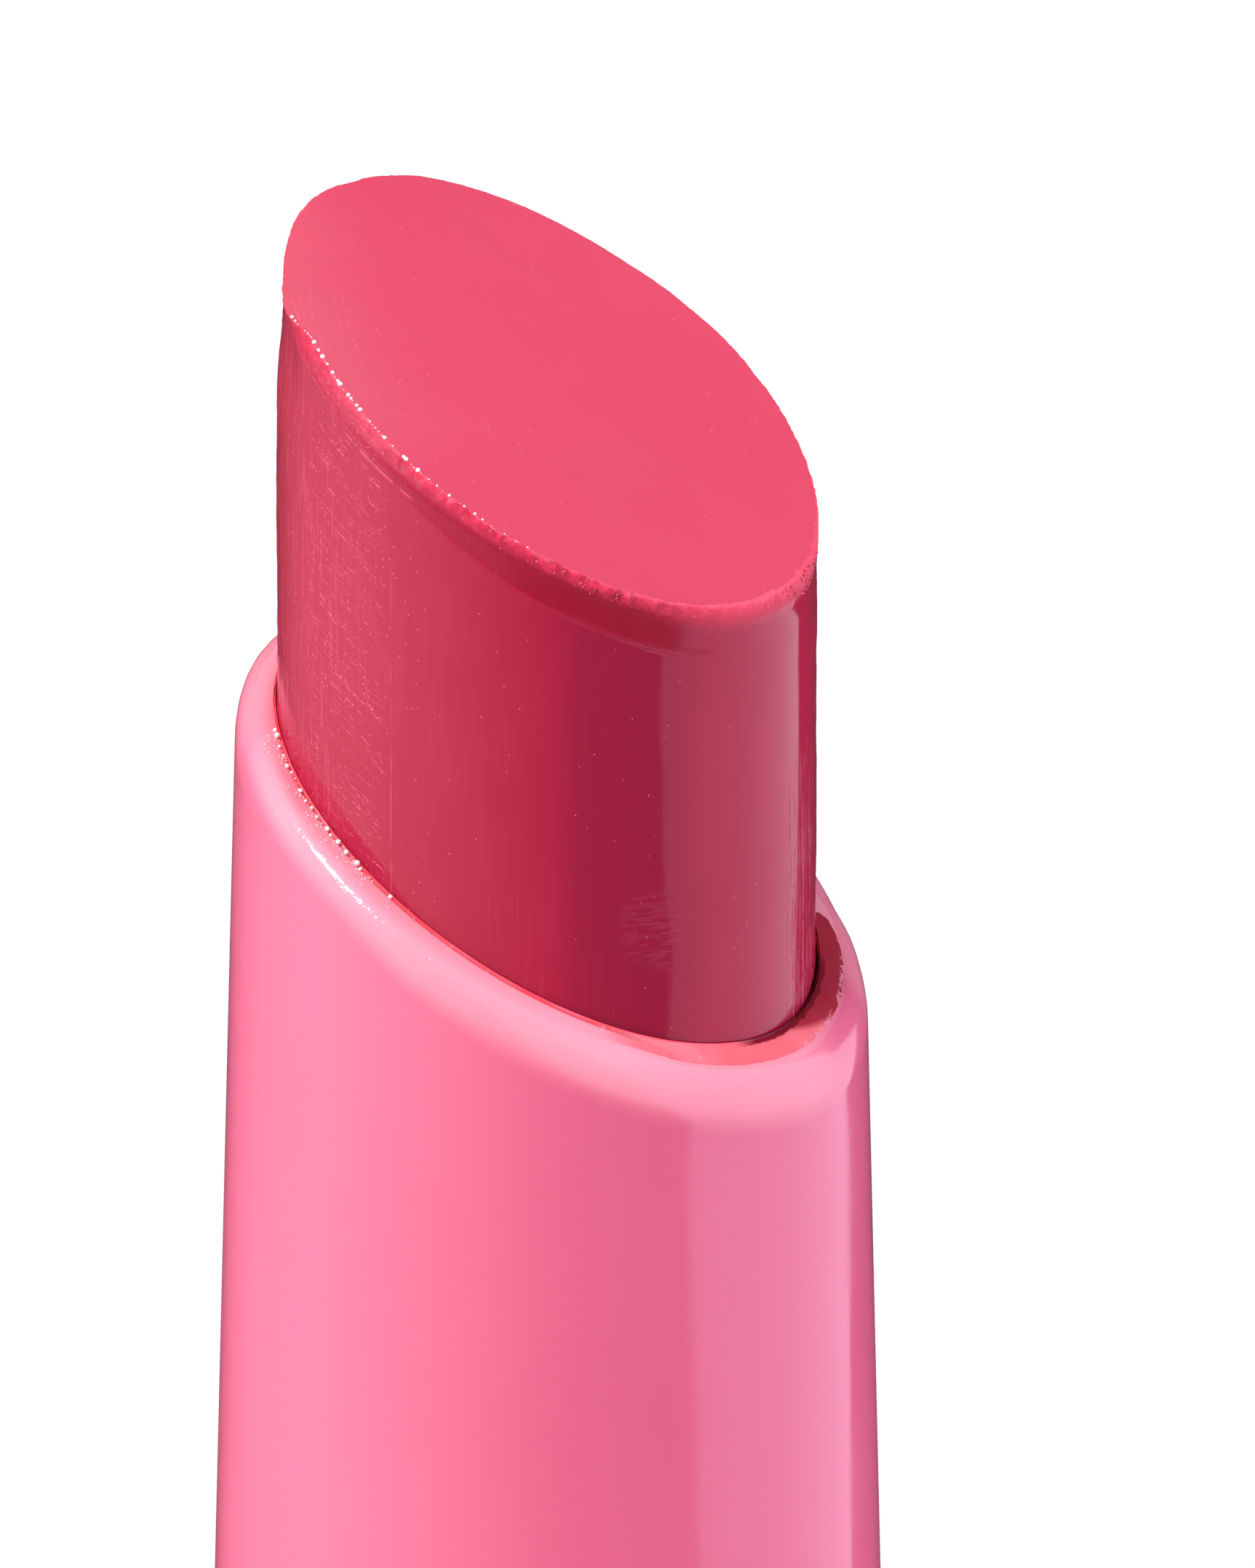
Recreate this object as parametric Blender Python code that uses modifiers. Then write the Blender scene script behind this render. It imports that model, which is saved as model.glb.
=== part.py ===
"""Lip gloss stick with a slant-cut bullet and a twist-up drive.

The barrel turns a two-start spindle. The spindle lifts a keyed nut, which
carries the stem, the cup and the bullet up through the slanted nozzle.
The frame has +Z along the stick, its foot at zero and the low side of the
slanted cut towards +X.
"""

from math import ceil, cos, pi, radians, sin, tan

import bmesh
import bpy
from mathutils import Matrix, Vector

MM = 0.001

# Bullet
BULLET_DIAMETER = 8.6 * MM
BULLET_LENGTH = 30.0 * MM  # from its foot to the middle of the cut
SLANT_ANGLE = radians(32.3)  # slope of the cut and of the mouth
BULLET_STAND = 7.2 * MM  # cut over mouth along the axis, as stored
BULLET_SUNK = 1.0 * MM  # cut under mouth when wound right down
FOOT_LENGTH = 4.0 * MM  # stretch held by the cup
FOOT_STEP = 0.6 * MM

# Nozzle, the tapered front sleeve
NOZZLE_LENGTH = 13.4 * MM  # from the middle of the mouth to the collar
NOZZLE_TAPER = radians(1.29)
RIM_FLAT = 0.26 * MM
RIM_ROUND_ACROSS = 0.46 * MM
RIM_ROUND_DOWN = 0.65 * MM
TUBE_WALL = 0.62 * MM  # nozzle's skirt and guide sleeve

# Collar, where a cap clicks on
COLLAR_LENGTH = 7.0 * MM
COLLAR_WALL = 0.85 * MM
COLLAR_EDGE = 0.25 * MM
SNAP_RISE = 0.13 * MM
SNAP_HALF = 0.45 * MM
SNAP_HEIGHT_SHARE = 0.62
SKIRT_SHARE = 0.5  # share of the collar that the nozzle's skirt fills

# Guide sleeve and its rings
SLOT_WIDTH = 1.6 * MM
RING_GROOVE_DEPTH = 0.28 * MM
RING_GROOVE_SPARE = 0.12 * MM
RING_HEIGHT_SHARES = {"lower_o_ring": 0.28, "upper_o_ring": 0.72}
BEAD_CATCH = 0.2 * MM  # reach of the guide's bead into the liner's groove
BEAD_CREST_HALF = 0.25 * MM
BEAD_FOOT_HALF = 0.6 * MM
BEAD_RISE = 1.4 * MM

# Cup, stem and nut, which travel with the bullet
CUP_FLOOR = 1.4 * MM
CUP_HUB = 3.0 * MM  # depth of the stem's socket in the cup
CUP_WAIST = 0.5 * MM
CUP_LAND = 1.0 * MM
FIN_COUNT = 4
FIN_REACH = 0.6 * MM
FIN_WIDTH = 0.6 * MM
FIN_HEIGHT_SHARE = 0.65
STEM_DIAMETER = 5.6 * MM
STEM_WALL = 0.8 * MM
NUT_LENGTH = 6.0 * MM
NUT_THREAD_LENGTH = 3.3 * MM
LUG_HEIGHT = 4.0 * MM
LUG_INSET = 0.1 * MM
LUG_SIDE_GAP = 0.15 * MM
CUP_BELOW_LIP = 1.0 * MM  # cup under the mouth when wound right up

# Spindle
SPINDLE_LEAD = 6.0 * MM  # lift for each turn
SPINDLE_CORE_DIAMETER = 2.3 * MM
SPINDLE_CREST_DIAMETER = 3.4 * MM
SPINDLE_NOSE = 0.8 * MM
SPINDLE_NOSE_CHAMFER = 0.3 * MM
SPINDLE_FLANGE = 1.0 * MM
SPINDLE_FLANGE_DIAMETER = 7.0 * MM
SPINDLE_ROOT = 3.6 * MM
SPINDLE_ROOT_WIDTH = 2.4 * MM
THREAD_SPARE = 0.6 * MM
THREAD_STARTS = 2
RIDGE_SHARE = 0.32  # share of each start's arc on the ridge's crest
FLANK_SHARE = 0.16

# Barrel, liner and what closes them
BARREL_WALL = 0.74 * MM
BARREL_EDGE = 0.25 * MM
LINER_WALL = 0.65 * MM
LINER_INSET = 0.6 * MM
SEAT_LENGTH = 4.5 * MM
WEIGHT_LENGTH = 9.0 * MM
WEIGHT_CHAMFER = 0.5 * MM
PLUG_FLANGE = 1.4 * MM
PLUG_SPIGOT = 3.0 * MM
PLUG_WALL = 0.9 * MM
PLUG_EDGE = 0.5 * MM
PLUG_RECESS_DEPTH = 0.25 * MM
PLUG_RIM = 2.0 * MM  # width of the ring that the stick stands on

# Clearances
BULLET_GAP = 0.06 * MM  # bullet in the bore
SLIDE_GAP = 0.12 * MM  # cup and nut in the bore
TURN_GAP = 0.15 * MM  # pieces that turn past each other
PRESS_GAP = 0.05 * MM  # pieces pressed into each other
RING_GAP = 0.03 * MM
SEAT_GAP = 0.1 * MM  # pieces that stand on each other
STOP_GAP = 0.3 * MM  # what is left at each end of the travel
THREAD_GAP = 0.15 * MM
OVERRUN = 0.5 * MM  # how far a cutter passes the faces that it cuts

# Facets
SHOWN_SIDES = 56
HIDDEN_SIDES = 48
RING_SIDES = 6
ROUND_STEPS = 5
THREAD_SIDES = 16
ARC_POINTS = 4
SHARP_ANGLE = radians(30)
WELD = 0.001 * MM

# Radii, from the bullet outwards
slope = tan(SLANT_ANGLE)
taper = tan(NOZZLE_TAPER)
bullet_r = BULLET_DIAMETER / 2
foot_r = bullet_r - FOOT_STEP
cup_bore_r = foot_r + PRESS_GAP
bore_r = bullet_r + BULLET_GAP
guide_r = bore_r + TUBE_WALL
mouth_r = bore_r + RIM_FLAT + RIM_ROUND_ACROSS
collar_bore_r = guide_r + PRESS_GAP
collar_r = collar_bore_r + COLLAR_WALL
liner_bore_r = guide_r + TURN_GAP
liner_r = liner_bore_r + LINER_WALL
bead_r = liner_bore_r + BEAD_CATCH
barrel_bore_r = liner_r + PRESS_GAP
barrel_r = barrel_bore_r + BARREL_WALL
slider_r = bore_r - SLIDE_GAP
stem_r = STEM_DIAMETER / 2
socket_r = stem_r + PRESS_GAP
core_r = SPINDLE_CORE_DIAMETER / 2
crest_r = SPINDLE_CREST_DIAMETER / 2
ring_floor_r = guide_r - RING_GROOVE_DEPTH
ring_thick_r = (liner_bore_r - ring_floor_r) / 2 - RING_GAP
ring_middle_r = (liner_bore_r + ring_floor_r) / 2

# Travel of the bullet from its stored place
travel_down = BULLET_STAND + BULLET_SUNK
travel_up = BULLET_LENGTH - BULLET_STAND - FOOT_LENGTH - bore_r * slope - CUP_BELOW_LIP

# Heights, from the foot upwards
plug_flange_top = PLUG_FLANGE
barrel_bottom = plug_flange_top + SEAT_GAP
plug_top = plug_flange_top + PLUG_SPIGOT
weight_bottom = plug_top + SEAT_GAP
weight_top = weight_bottom + WEIGHT_LENGTH
seat_bottom = weight_top + SEAT_GAP
seat_top = seat_bottom + SEAT_LENGTH
flange_bottom = seat_top + SEAT_GAP
flange_top = flange_bottom + SPINDLE_FLANGE
nut_bottom = flange_top + STOP_GAP + travel_down
nut_floor = nut_bottom + NUT_THREAD_LENGTH
nut_top = nut_bottom + NUT_LENGTH
lug_top = nut_bottom + LUG_HEIGHT
stem_bottom = nut_floor + SEAT_GAP
thread_top = nut_floor + travel_up + THREAD_SPARE
spindle_top = thread_top + SPINDLE_NOSE
cup_socket_top = spindle_top + STOP_GAP + travel_down
cup_bottom = cup_socket_top - CUP_HUB
stem_top = cup_socket_top - SEAT_GAP
cup_floor_top = cup_socket_top + CUP_FLOOR
foot_bottom = cup_floor_top + SEAT_GAP
foot_top = foot_bottom + FOOT_LENGTH
cup_rim = foot_top - SEAT_GAP
cut_middle = foot_bottom + BULLET_LENGTH
mouth_middle = cut_middle - BULLET_STAND
shoulder = mouth_middle - NOZZLE_LENGTH
collar_top = shoulder - SEAT_GAP
collar_bottom = collar_top - COLLAR_LENGTH
skirt_bottom = collar_top - COLLAR_LENGTH * SKIRT_SHARE
guide_top = skirt_bottom - SEAT_GAP
guide_bottom = seat_top + STOP_GAP
slot_top = lug_top + travel_up + STOP_GAP
bead_middle = guide_bottom + BEAD_RISE
barrel_top = collar_bottom - TURN_GAP
liner_top = barrel_top - LINER_INSET


def new_collection(name):
    collection = bpy.data.collections.new(name)
    bpy.context.scene.collection.children.link(collection)
    return collection


def new_material(name, colour, roughness, metallic=0.0):
    material = bpy.data.materials.new(name)
    material.use_nodes = True
    shader = material.node_tree.nodes["Principled BSDF"]
    shader.inputs["Base Color"].default_value = (*colour, 1.0)
    shader.inputs["Roughness"].default_value = roughness
    shader.inputs["Metallic"].default_value = metallic
    material.diffuse_color = (*colour, 1.0)
    return material


def new_object(name, mesh, collection):
    piece = bpy.data.objects.new(name, mesh)
    collection.objects.link(piece)
    return piece


def round_corner(centre, across, down, start, stop, steps=ROUND_STEPS):
    """Points of an elliptical arc in a profile, centre given as radius and height."""
    points = []
    for step in range(steps + 1):
        angle = start + (stop - start) * step / steps
        points.append((centre[0] + across * sin(angle), centre[1] + down * cos(angle)))
    return points


def turned(name, profile, collection, closed=True, sides=HIDDEN_SIDES):
    """Turn a profile of (radius, height) points about the stick's axis.

    The profile runs down its outer side. A closed one makes a tube, and an
    open one starts and ends on the axis.
    """
    bm = bmesh.new()
    points = [bm.verts.new((radius, 0.0, height)) for radius, height in profile]
    for first, second in zip(points, points[1:]):
        bm.edges.new((first, second))
    if closed:
        bm.edges.new((points[-1], points[0]))
    mesh = bpy.data.meshes.new(name)
    bm.to_mesh(mesh)
    bm.free()
    piece = new_object(name, mesh, collection)
    screw = piece.modifiers.new("Turn", "SCREW")
    screw.axis = "Z"
    screw.steps = sides
    screw.render_steps = sides
    screw.use_merge_vertices = True
    screw.merge_threshold = WELD
    screw.use_smooth_shade = True
    return piece


def box_blocks(name, blocks, collection):
    """One mesh of upright boxes, each a (middle, size, turn about Z)."""
    bm = bmesh.new()
    for middle, size, turn in blocks:
        place = Matrix.Rotation(turn, 4, "Z") @ Matrix.Translation(middle)
        bmesh.ops.create_cube(bm, size=1.0, matrix=place @ Matrix.Diagonal((*size, 1.0)))
    mesh = bpy.data.meshes.new(name)
    bm.to_mesh(mesh)
    bm.free()
    return new_object(name, mesh, collection)


def combine(piece, tool, operation):
    """Cut the piece by a tool, or join the tool to it."""
    tool.hide_render = True
    tool.display_type = "WIRE"
    boolean = piece.modifiers.new(operation.title(), "BOOLEAN")
    boolean.object = tool
    boolean.operation = operation
    boolean.solver = "EXACT"


def settle(piece):
    """Make the modifiers' result the piece's own mesh, shaded smooth between its edges."""
    graph = bpy.context.evaluated_depsgraph_get()
    graph.update()
    mesh = bpy.data.meshes.new_from_object(piece.evaluated_get(graph))
    drawn = piece.data
    piece.modifiers.clear()
    piece.data = mesh
    bpy.data.meshes.remove(drawn)
    mesh.name = piece.name
    mesh.shade_smooth()
    mesh.set_sharp_from_angle(angle=SHARP_ANGLE)


def dress(piece, material, body):
    """Give the piece its material and hang it on the empty of its body."""
    piece.data.materials.clear()
    piece.data.materials.append(material)
    piece.parent = body


def slant(piece, lowest, outer_from):
    """Slope what lies over a height down towards +X.

    Points outside the radius outer_from also follow the nozzle's taper, so
    that the outer wall stays one cone.
    """
    bm = bmesh.new()
    bm.from_mesh(piece.data)
    sloped = [vert for vert in bm.verts if vert.co.z > lowest]
    for vert in sloped:
        radius = vert.co.xy.length
        if radius > outer_from:
            vert.co.xy *= 1.0 + taper * slope * vert.co.x / radius
    fall = Matrix.Identity(4)
    fall[2][0] = -slope
    bmesh.ops.transform(bm, matrix=fall, verts=sloped)
    bm.to_mesh(piece.data)
    bm.free()


def thread_outline(core, crest, spread):
    """The screw's section across its axis; spread widens each ridge by an angle each side."""
    arc = pi / THREAD_STARTS
    ridge = arc * RIDGE_SHARE + spread
    groove = arc * (1.0 - RIDGE_SHARE - FLANK_SHARE) - spread
    points = []
    for start in range(THREAD_STARTS):
        middle = 2.0 * arc * start
        for radius, centre, half in ((crest, middle, ridge), (core, middle + arc, groove)):
            for step in range(ARC_POINTS):
                angle = centre + half * (2.0 * step / (ARC_POINTS - 1) - 1.0)
                points.append((radius * cos(angle), radius * sin(angle)))
    return points


def screw_bar(name, low, high, core, crest, spread, collection):
    """A left-hand two-start screw between two heights, in phase with every other one."""
    phase = -2.0 * pi * low / SPINDLE_LEAD
    turns = (high - low) / SPINDLE_LEAD
    bm = bmesh.new()
    outline = [bm.verts.new((x, y, low)) for x, y in thread_outline(core, crest, spread)]
    for first, second in zip(outline, outline[1:] + outline[:1]):
        bm.edges.new((first, second))
    bmesh.ops.rotate(bm, verts=outline, matrix=Matrix.Rotation(phase, 3, "Z"))
    mesh = bpy.data.meshes.new(name)
    bm.to_mesh(mesh)
    bm.free()
    bar = new_object(name, mesh, collection)
    screw = bar.modifiers.new("Twist", "SCREW")
    screw.axis = "Z"
    screw.angle = -2.0 * pi * turns
    screw.screw_offset = high - low
    screw.steps = ceil(turns * THREAD_SIDES)
    screw.render_steps = screw.steps
    screw.use_merge_vertices = False
    settle(bar)
    bm = bmesh.new()
    bm.from_mesh(bar.data)
    bmesh.ops.holes_fill(bm, edges=[edge for edge in bm.edges if edge.is_boundary])
    bmesh.ops.recalc_face_normals(bm, faces=bm.faces)
    bm.to_mesh(bar.data)
    bm.free()
    return bar


def make_bullet(parts, cutters):
    """The colour stick, slant-cut on top, with a stepped foot that the cup's fins key."""
    profile = [
        (0.0, cut_middle),
        (bullet_r, cut_middle),
        (bullet_r, foot_top),
        (foot_r, foot_top),
        (foot_r, foot_bottom),
        (0.0, foot_bottom),
    ]
    bullet = turned("bullet", profile, parts, closed=False, sides=SHOWN_SIDES)
    combine(bullet, fins("bullet_grooves", PRESS_GAP, OVERRUN, cutters), "DIFFERENCE")
    settle(bullet)
    slant(bullet, foot_top + STOP_GAP, bullet_r + BULLET_GAP)
    return bullet


def fins(name, side_gap, overrun, cutters):
    """The cup's upright fins, or with a gap the grooves that they leave in the bullet."""
    inner_r = cup_bore_r - FIN_REACH - side_gap
    outer_r = cup_bore_r + CUP_WAIST / 2
    low = cup_floor_top - overrun
    high = cup_floor_top + FOOT_LENGTH * FIN_HEIGHT_SHARE + 2.0 * side_gap
    middle = Vector(((inner_r + outer_r) / 2, 0.0, (low + high) / 2))
    size = (outer_r - inner_r, FIN_WIDTH + 2.0 * side_gap, high - low)
    blocks = [(middle, size, 2.0 * pi * (i + 0.5) / FIN_COUNT) for i in range(FIN_COUNT)]
    return box_blocks(name, blocks, cutters)


def make_cup(parts, cutters):
    """Cup that holds the bullet's foot above and the stem's end below."""
    waist_r = slider_r - CUP_WAIST
    profile = [
        (0.0, cup_floor_top),
        (cup_bore_r, cup_floor_top),
        (cup_bore_r, cup_rim),
        (slider_r, cup_rim),
        (slider_r, cup_socket_top),
        (waist_r, cup_socket_top - CUP_WAIST),
        (waist_r, cup_bottom + CUP_LAND + CUP_WAIST),
        (slider_r, cup_bottom + CUP_LAND),
        (slider_r, cup_bottom),
        (socket_r, cup_bottom),
        (socket_r, cup_socket_top),
        (0.0, cup_socket_top),
    ]
    cup = turned("bullet_cup", profile, parts, closed=False)
    combine(cup, fins("cup_fins", 0.0, CUP_FLOOR / 2, cutters), "UNION")
    settle(cup)
    return cup


def make_stem(parts):
    """Tube between cup and nut, wide enough for the spindle to pass up inside."""
    bore = stem_r - STEM_WALL
    profile = [
        (bore, stem_top),
        (stem_r, stem_top),
        (stem_r, stem_bottom),
        (bore, stem_bottom),
    ]
    stem = turned("carrier_stem", profile, parts)
    settle(stem)
    return stem


def make_nut(parts, cutters):
    """Keyed nut: two lugs ride in the guide's slots, and the spindle drives its thread."""
    profile = [
        (0.0, nut_floor),
        (socket_r, nut_floor),
        (socket_r, nut_top),
        (slider_r, nut_top),
        (slider_r, nut_bottom),
        (0.0, nut_bottom),
    ]
    nut = turned("drive_nut", profile, parts, closed=False)
    lug_r = guide_r - LUG_INSET
    inner_r = (socket_r + slider_r) / 2
    width = SLOT_WIDTH - 2.0 * LUG_SIDE_GAP
    middle = Vector((0.0, (lug_r + inner_r) / 2, (nut_bottom + lug_top) / 2))
    size = (width, lug_r - inner_r, LUG_HEIGHT)
    lugs = box_blocks("nut_lugs", [(middle, size, 0.0), (middle, size, pi)], cutters)
    combine(nut, lugs, "UNION")
    spread = 2.0 * pi * THREAD_GAP / SPINDLE_LEAD
    hole = screw_bar(
        "nut_thread",
        nut_bottom - OVERRUN,
        nut_floor + OVERRUN,
        core_r + THREAD_GAP,
        crest_r + THREAD_GAP,
        spread,
        cutters,
    )
    combine(nut, hole, "DIFFERENCE")
    settle(nut)
    return nut


def make_nozzle(parts):
    """Tapered front sleeve with the slanted, rounded mouth and a skirt inside the collar."""
    flat_r = bore_r + RIM_FLAT
    centre = (flat_r, mouth_middle - RIM_ROUND_DOWN)
    rim = round_corner(centre, RIM_ROUND_ACROSS, RIM_ROUND_DOWN, 0.0, pi / 2)
    profile = [(bore_r, mouth_middle), *rim]
    profile += [
        (mouth_r + taper * NOZZLE_LENGTH, shoulder),
        (guide_r, shoulder),
        (guide_r, skirt_bottom),
        (bore_r, skirt_bottom),
    ]
    nozzle = turned("nozzle", profile, parts, sides=SHOWN_SIDES)
    settle(nozzle)
    slant(nozzle, mouth_middle - RIM_ROUND_DOWN - WELD, (bore_r + flat_r) / 2)
    return nozzle


def make_collar(parts):
    """Ring that joins nozzle and guide sleeve, with the bead that a cap snaps over."""
    snap = collar_bottom + COLLAR_LENGTH * SNAP_HEIGHT_SHARE
    edge_centre = (collar_r - COLLAR_EDGE, collar_top - COLLAR_EDGE)
    profile = [(collar_bore_r, collar_top)]
    profile += round_corner(edge_centre, COLLAR_EDGE, COLLAR_EDGE, 0.0, pi / 2, ARC_POINTS)
    profile += round_corner((collar_r, snap), SNAP_RISE, SNAP_HALF, 0.0, pi)
    profile += [(collar_r, collar_bottom), (collar_bore_r, collar_bottom)]
    collar = turned("collar", profile, parts, sides=SHOWN_SIDES)
    settle(collar)
    return collar


def ring_height(share):
    """Height of a ring on the guide's plain stretch between its slots and the collar."""
    return slot_top + (collar_bottom - slot_top) * share


def make_guide(parts, cutters):
    """Slotted sleeve that keeps the nut from turning, with ring grooves and a snap bead."""
    half = ring_thick_r + RING_GROOVE_SPARE
    profile = [(bore_r, guide_top), (guide_r, guide_top)]
    for share in sorted(RING_HEIGHT_SHARES.values(), reverse=True):
        middle = ring_height(share)
        profile += [
            (guide_r, middle + half),
            (ring_floor_r, middle + half),
            (ring_floor_r, middle - half),
            (guide_r, middle - half),
        ]
    profile += [
        (guide_r, bead_middle + BEAD_FOOT_HALF),
        (bead_r, bead_middle + BEAD_CREST_HALF),
        (bead_r, bead_middle - BEAD_CREST_HALF),
        (guide_r, bead_middle - BEAD_FOOT_HALF),
        (guide_r, guide_bottom),
        (bore_r, guide_bottom),
    ]
    guide = turned("guide_sleeve", profile, parts)
    low = guide_bottom - OVERRUN
    middle = Vector((0.0, 0.0, (low + slot_top) / 2))
    size = (SLOT_WIDTH, 2.0 * (bead_r + OVERRUN), slot_top - low)
    combine(guide, box_blocks("guide_slots", [(middle, size, 0.0)], cutters), "DIFFERENCE")
    settle(guide)
    return guide


def make_ring(name, parts):
    """Round rubber ring in a groove of the guide, which gives the twist its drag."""
    centre = ring_height(RING_HEIGHT_SHARES[name])
    profile = []
    for side in range(RING_SIDES):
        angle = 2.0 * pi * (side + 0.5) / RING_SIDES
        across = ring_thick_r * sin(angle)
        profile.append((ring_middle_r + across, centre + ring_thick_r * cos(angle)))
    ring = turned(name, profile, parts)
    settle(ring)
    return ring


def make_spindle(parts, cutters):
    """Two-start screw with a thrust flange and a square root."""
    core = core_r - PRESS_GAP
    flange_r = SPINDLE_FLANGE_DIAMETER / 2
    profile = [
        (0.0, spindle_top),
        (core - SPINDLE_NOSE_CHAMFER, spindle_top),
        (core, spindle_top - SPINDLE_NOSE_CHAMFER),
        (core, flange_top),
        (flange_r, flange_top),
        (flange_r, flange_bottom),
        (0.0, flange_bottom),
    ]
    spindle = turned("spindle", profile, parts, closed=False)
    thread = screw_bar(
        "spindle_thread",
        flange_top - SPINDLE_FLANGE / 2,
        thread_top,
        core_r,
        crest_r,
        0.0,
        cutters,
    )
    combine(spindle, thread, "UNION")
    high = flange_bottom + SPINDLE_FLANGE / 2
    low = flange_bottom - SPINDLE_ROOT
    middle = Vector((0.0, 0.0, (high + low) / 2))
    size = (SPINDLE_ROOT_WIDTH, SPINDLE_ROOT_WIDTH, high - low)
    root = box_blocks("spindle_root", [(middle, size, 0.0)], cutters)
    combine(spindle, root, "UNION")
    settle(spindle)
    return spindle


def make_seat(parts, cutters):
    """Plug in the liner's foot with the square hole that turns the spindle."""
    seat_r = liner_bore_r - PRESS_GAP
    profile = [(0.0, seat_top), (seat_r, seat_top), (seat_r, seat_bottom), (0.0, seat_bottom)]
    seat = turned("spindle_seat", profile, parts, closed=False)
    width = SPINDLE_ROOT_WIDTH + 2.0 * PRESS_GAP
    high = seat_top + OVERRUN
    low = seat_bottom - OVERRUN
    hole = box_blocks(
        "seat_hole",
        [(Vector((0.0, 0.0, (high + low) / 2)), (width, width, high - low), 0.0)],
        cutters,
    )
    combine(seat, hole, "DIFFERENCE")
    settle(seat)
    return seat


def make_liner(parts):
    """Inner tube of the barrel, with the groove that catches the guide's bead."""
    groove_r = bead_r + TURN_GAP
    half = BEAD_FOOT_HALF + TURN_GAP
    profile = [
        (liner_bore_r, liner_top),
        (liner_r, liner_top),
        (liner_r, seat_bottom),
        (liner_bore_r, seat_bottom),
        (liner_bore_r, bead_middle - half),
        (groove_r, bead_middle - half),
        (groove_r, bead_middle + half),
        (liner_bore_r, bead_middle + half),
    ]
    liner = turned("barrel_liner", profile, parts)
    settle(liner)
    return liner


def make_barrel(parts):
    """Outer shell that the hand turns."""
    edge_centre = (barrel_r - BARREL_EDGE, barrel_top - BARREL_EDGE)
    profile = [(barrel_bore_r, barrel_top)]
    profile += round_corner(edge_centre, BARREL_EDGE, BARREL_EDGE, 0.0, pi / 2, ARC_POINTS)
    profile += [(barrel_r, barrel_bottom), (barrel_bore_r, barrel_bottom)]
    barrel = turned("barrel", profile, parts, sides=SHOWN_SIDES)
    settle(barrel)
    return barrel


def make_weight(parts):
    """Slug that balances the stick and lets it stand."""
    weight_r = barrel_bore_r - PRESS_GAP
    profile = [
        (0.0, weight_top),
        (weight_r - WEIGHT_CHAMFER, weight_top),
        (weight_r, weight_top - WEIGHT_CHAMFER),
        (weight_r, weight_bottom + WEIGHT_CHAMFER),
        (weight_r - WEIGHT_CHAMFER, weight_bottom),
        (0.0, weight_bottom),
    ]
    weight = turned("balance_weight", profile, parts, closed=False)
    settle(weight)
    return weight


def make_plug(parts):
    """End plug: a hollow spigot in the barrel and a flange with the standing rim."""
    spigot_r = barrel_bore_r - PRESS_GAP
    hollow_r = spigot_r - PLUG_WALL
    recess_r = barrel_r - PLUG_EDGE - PLUG_RIM
    edge_centre = (barrel_r - PLUG_EDGE, PLUG_EDGE)
    profile = [
        (0.0, plug_flange_top),
        (hollow_r, plug_flange_top),
        (hollow_r, plug_top),
        (spigot_r, plug_top),
        (spigot_r, plug_flange_top),
        (barrel_r, plug_flange_top),
    ]
    profile += round_corner(edge_centre, PLUG_EDGE, PLUG_EDGE, pi / 2, pi, ARC_POINTS)
    profile += [(recess_r, 0.0), (recess_r, PLUG_RECESS_DEPTH), (0.0, PLUG_RECESS_DEPTH)]
    plug = turned("end_plug", profile, parts, closed=False, sides=SHOWN_SIDES)
    settle(plug)
    return plug


def build():
    for item in list(bpy.data.objects):
        bpy.data.objects.remove(item)
    parts = new_collection("lip_gloss_stick")
    cutters = new_collection("cutters")

    shell = new_material("pink_shell", (0.85, 0.24, 0.37), 0.12)
    colour = new_material("coral_gloss", (0.78, 0.10, 0.17), 0.42)
    moulded = new_material("natural_plastic", (0.80, 0.78, 0.74), 0.35)
    rubber = new_material("black_rubber", (0.03, 0.03, 0.03), 0.7)
    steel = new_material("plain_steel", (0.58, 0.58, 0.60), 0.35, metallic=1.0)

    bodies = {}
    for name in ("front", "twist_base", "bullet_lift"):
        bodies[name] = new_object(name, None, parts)

    dress(make_nozzle(parts), shell, bodies["front"])
    dress(make_collar(parts), shell, bodies["front"])
    dress(make_guide(parts, cutters), moulded, bodies["front"])
    for name in RING_HEIGHT_SHARES:
        dress(make_ring(name, parts), rubber, bodies["front"])
    dress(make_bullet(parts, cutters), colour, bodies["bullet_lift"])
    dress(make_cup(parts, cutters), moulded, bodies["bullet_lift"])
    dress(make_stem(parts), moulded, bodies["bullet_lift"])
    dress(make_nut(parts, cutters), moulded, bodies["bullet_lift"])
    dress(make_barrel(parts), shell, bodies["twist_base"])
    dress(make_liner(parts), moulded, bodies["twist_base"])
    dress(make_spindle(parts, cutters), moulded, bodies["twist_base"])
    dress(make_seat(parts, cutters), moulded, bodies["twist_base"])
    dress(make_weight(parts), steel, bodies["twist_base"])
    dress(make_plug(parts), shell, bodies["twist_base"])

    print(f"travel down {travel_down / MM:.2f} mm, up {travel_up / MM:.2f} mm")
    print(f"mouth {mouth_middle / MM:.2f} mm, cut {cut_middle / MM:.2f} mm over the foot")


build()
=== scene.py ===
from math import atan2, cos, degrees, pi, radians, sin, tan
from random import Random

import bmesh
import bpy
from mathutils import Matrix, Vector, noise


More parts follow.
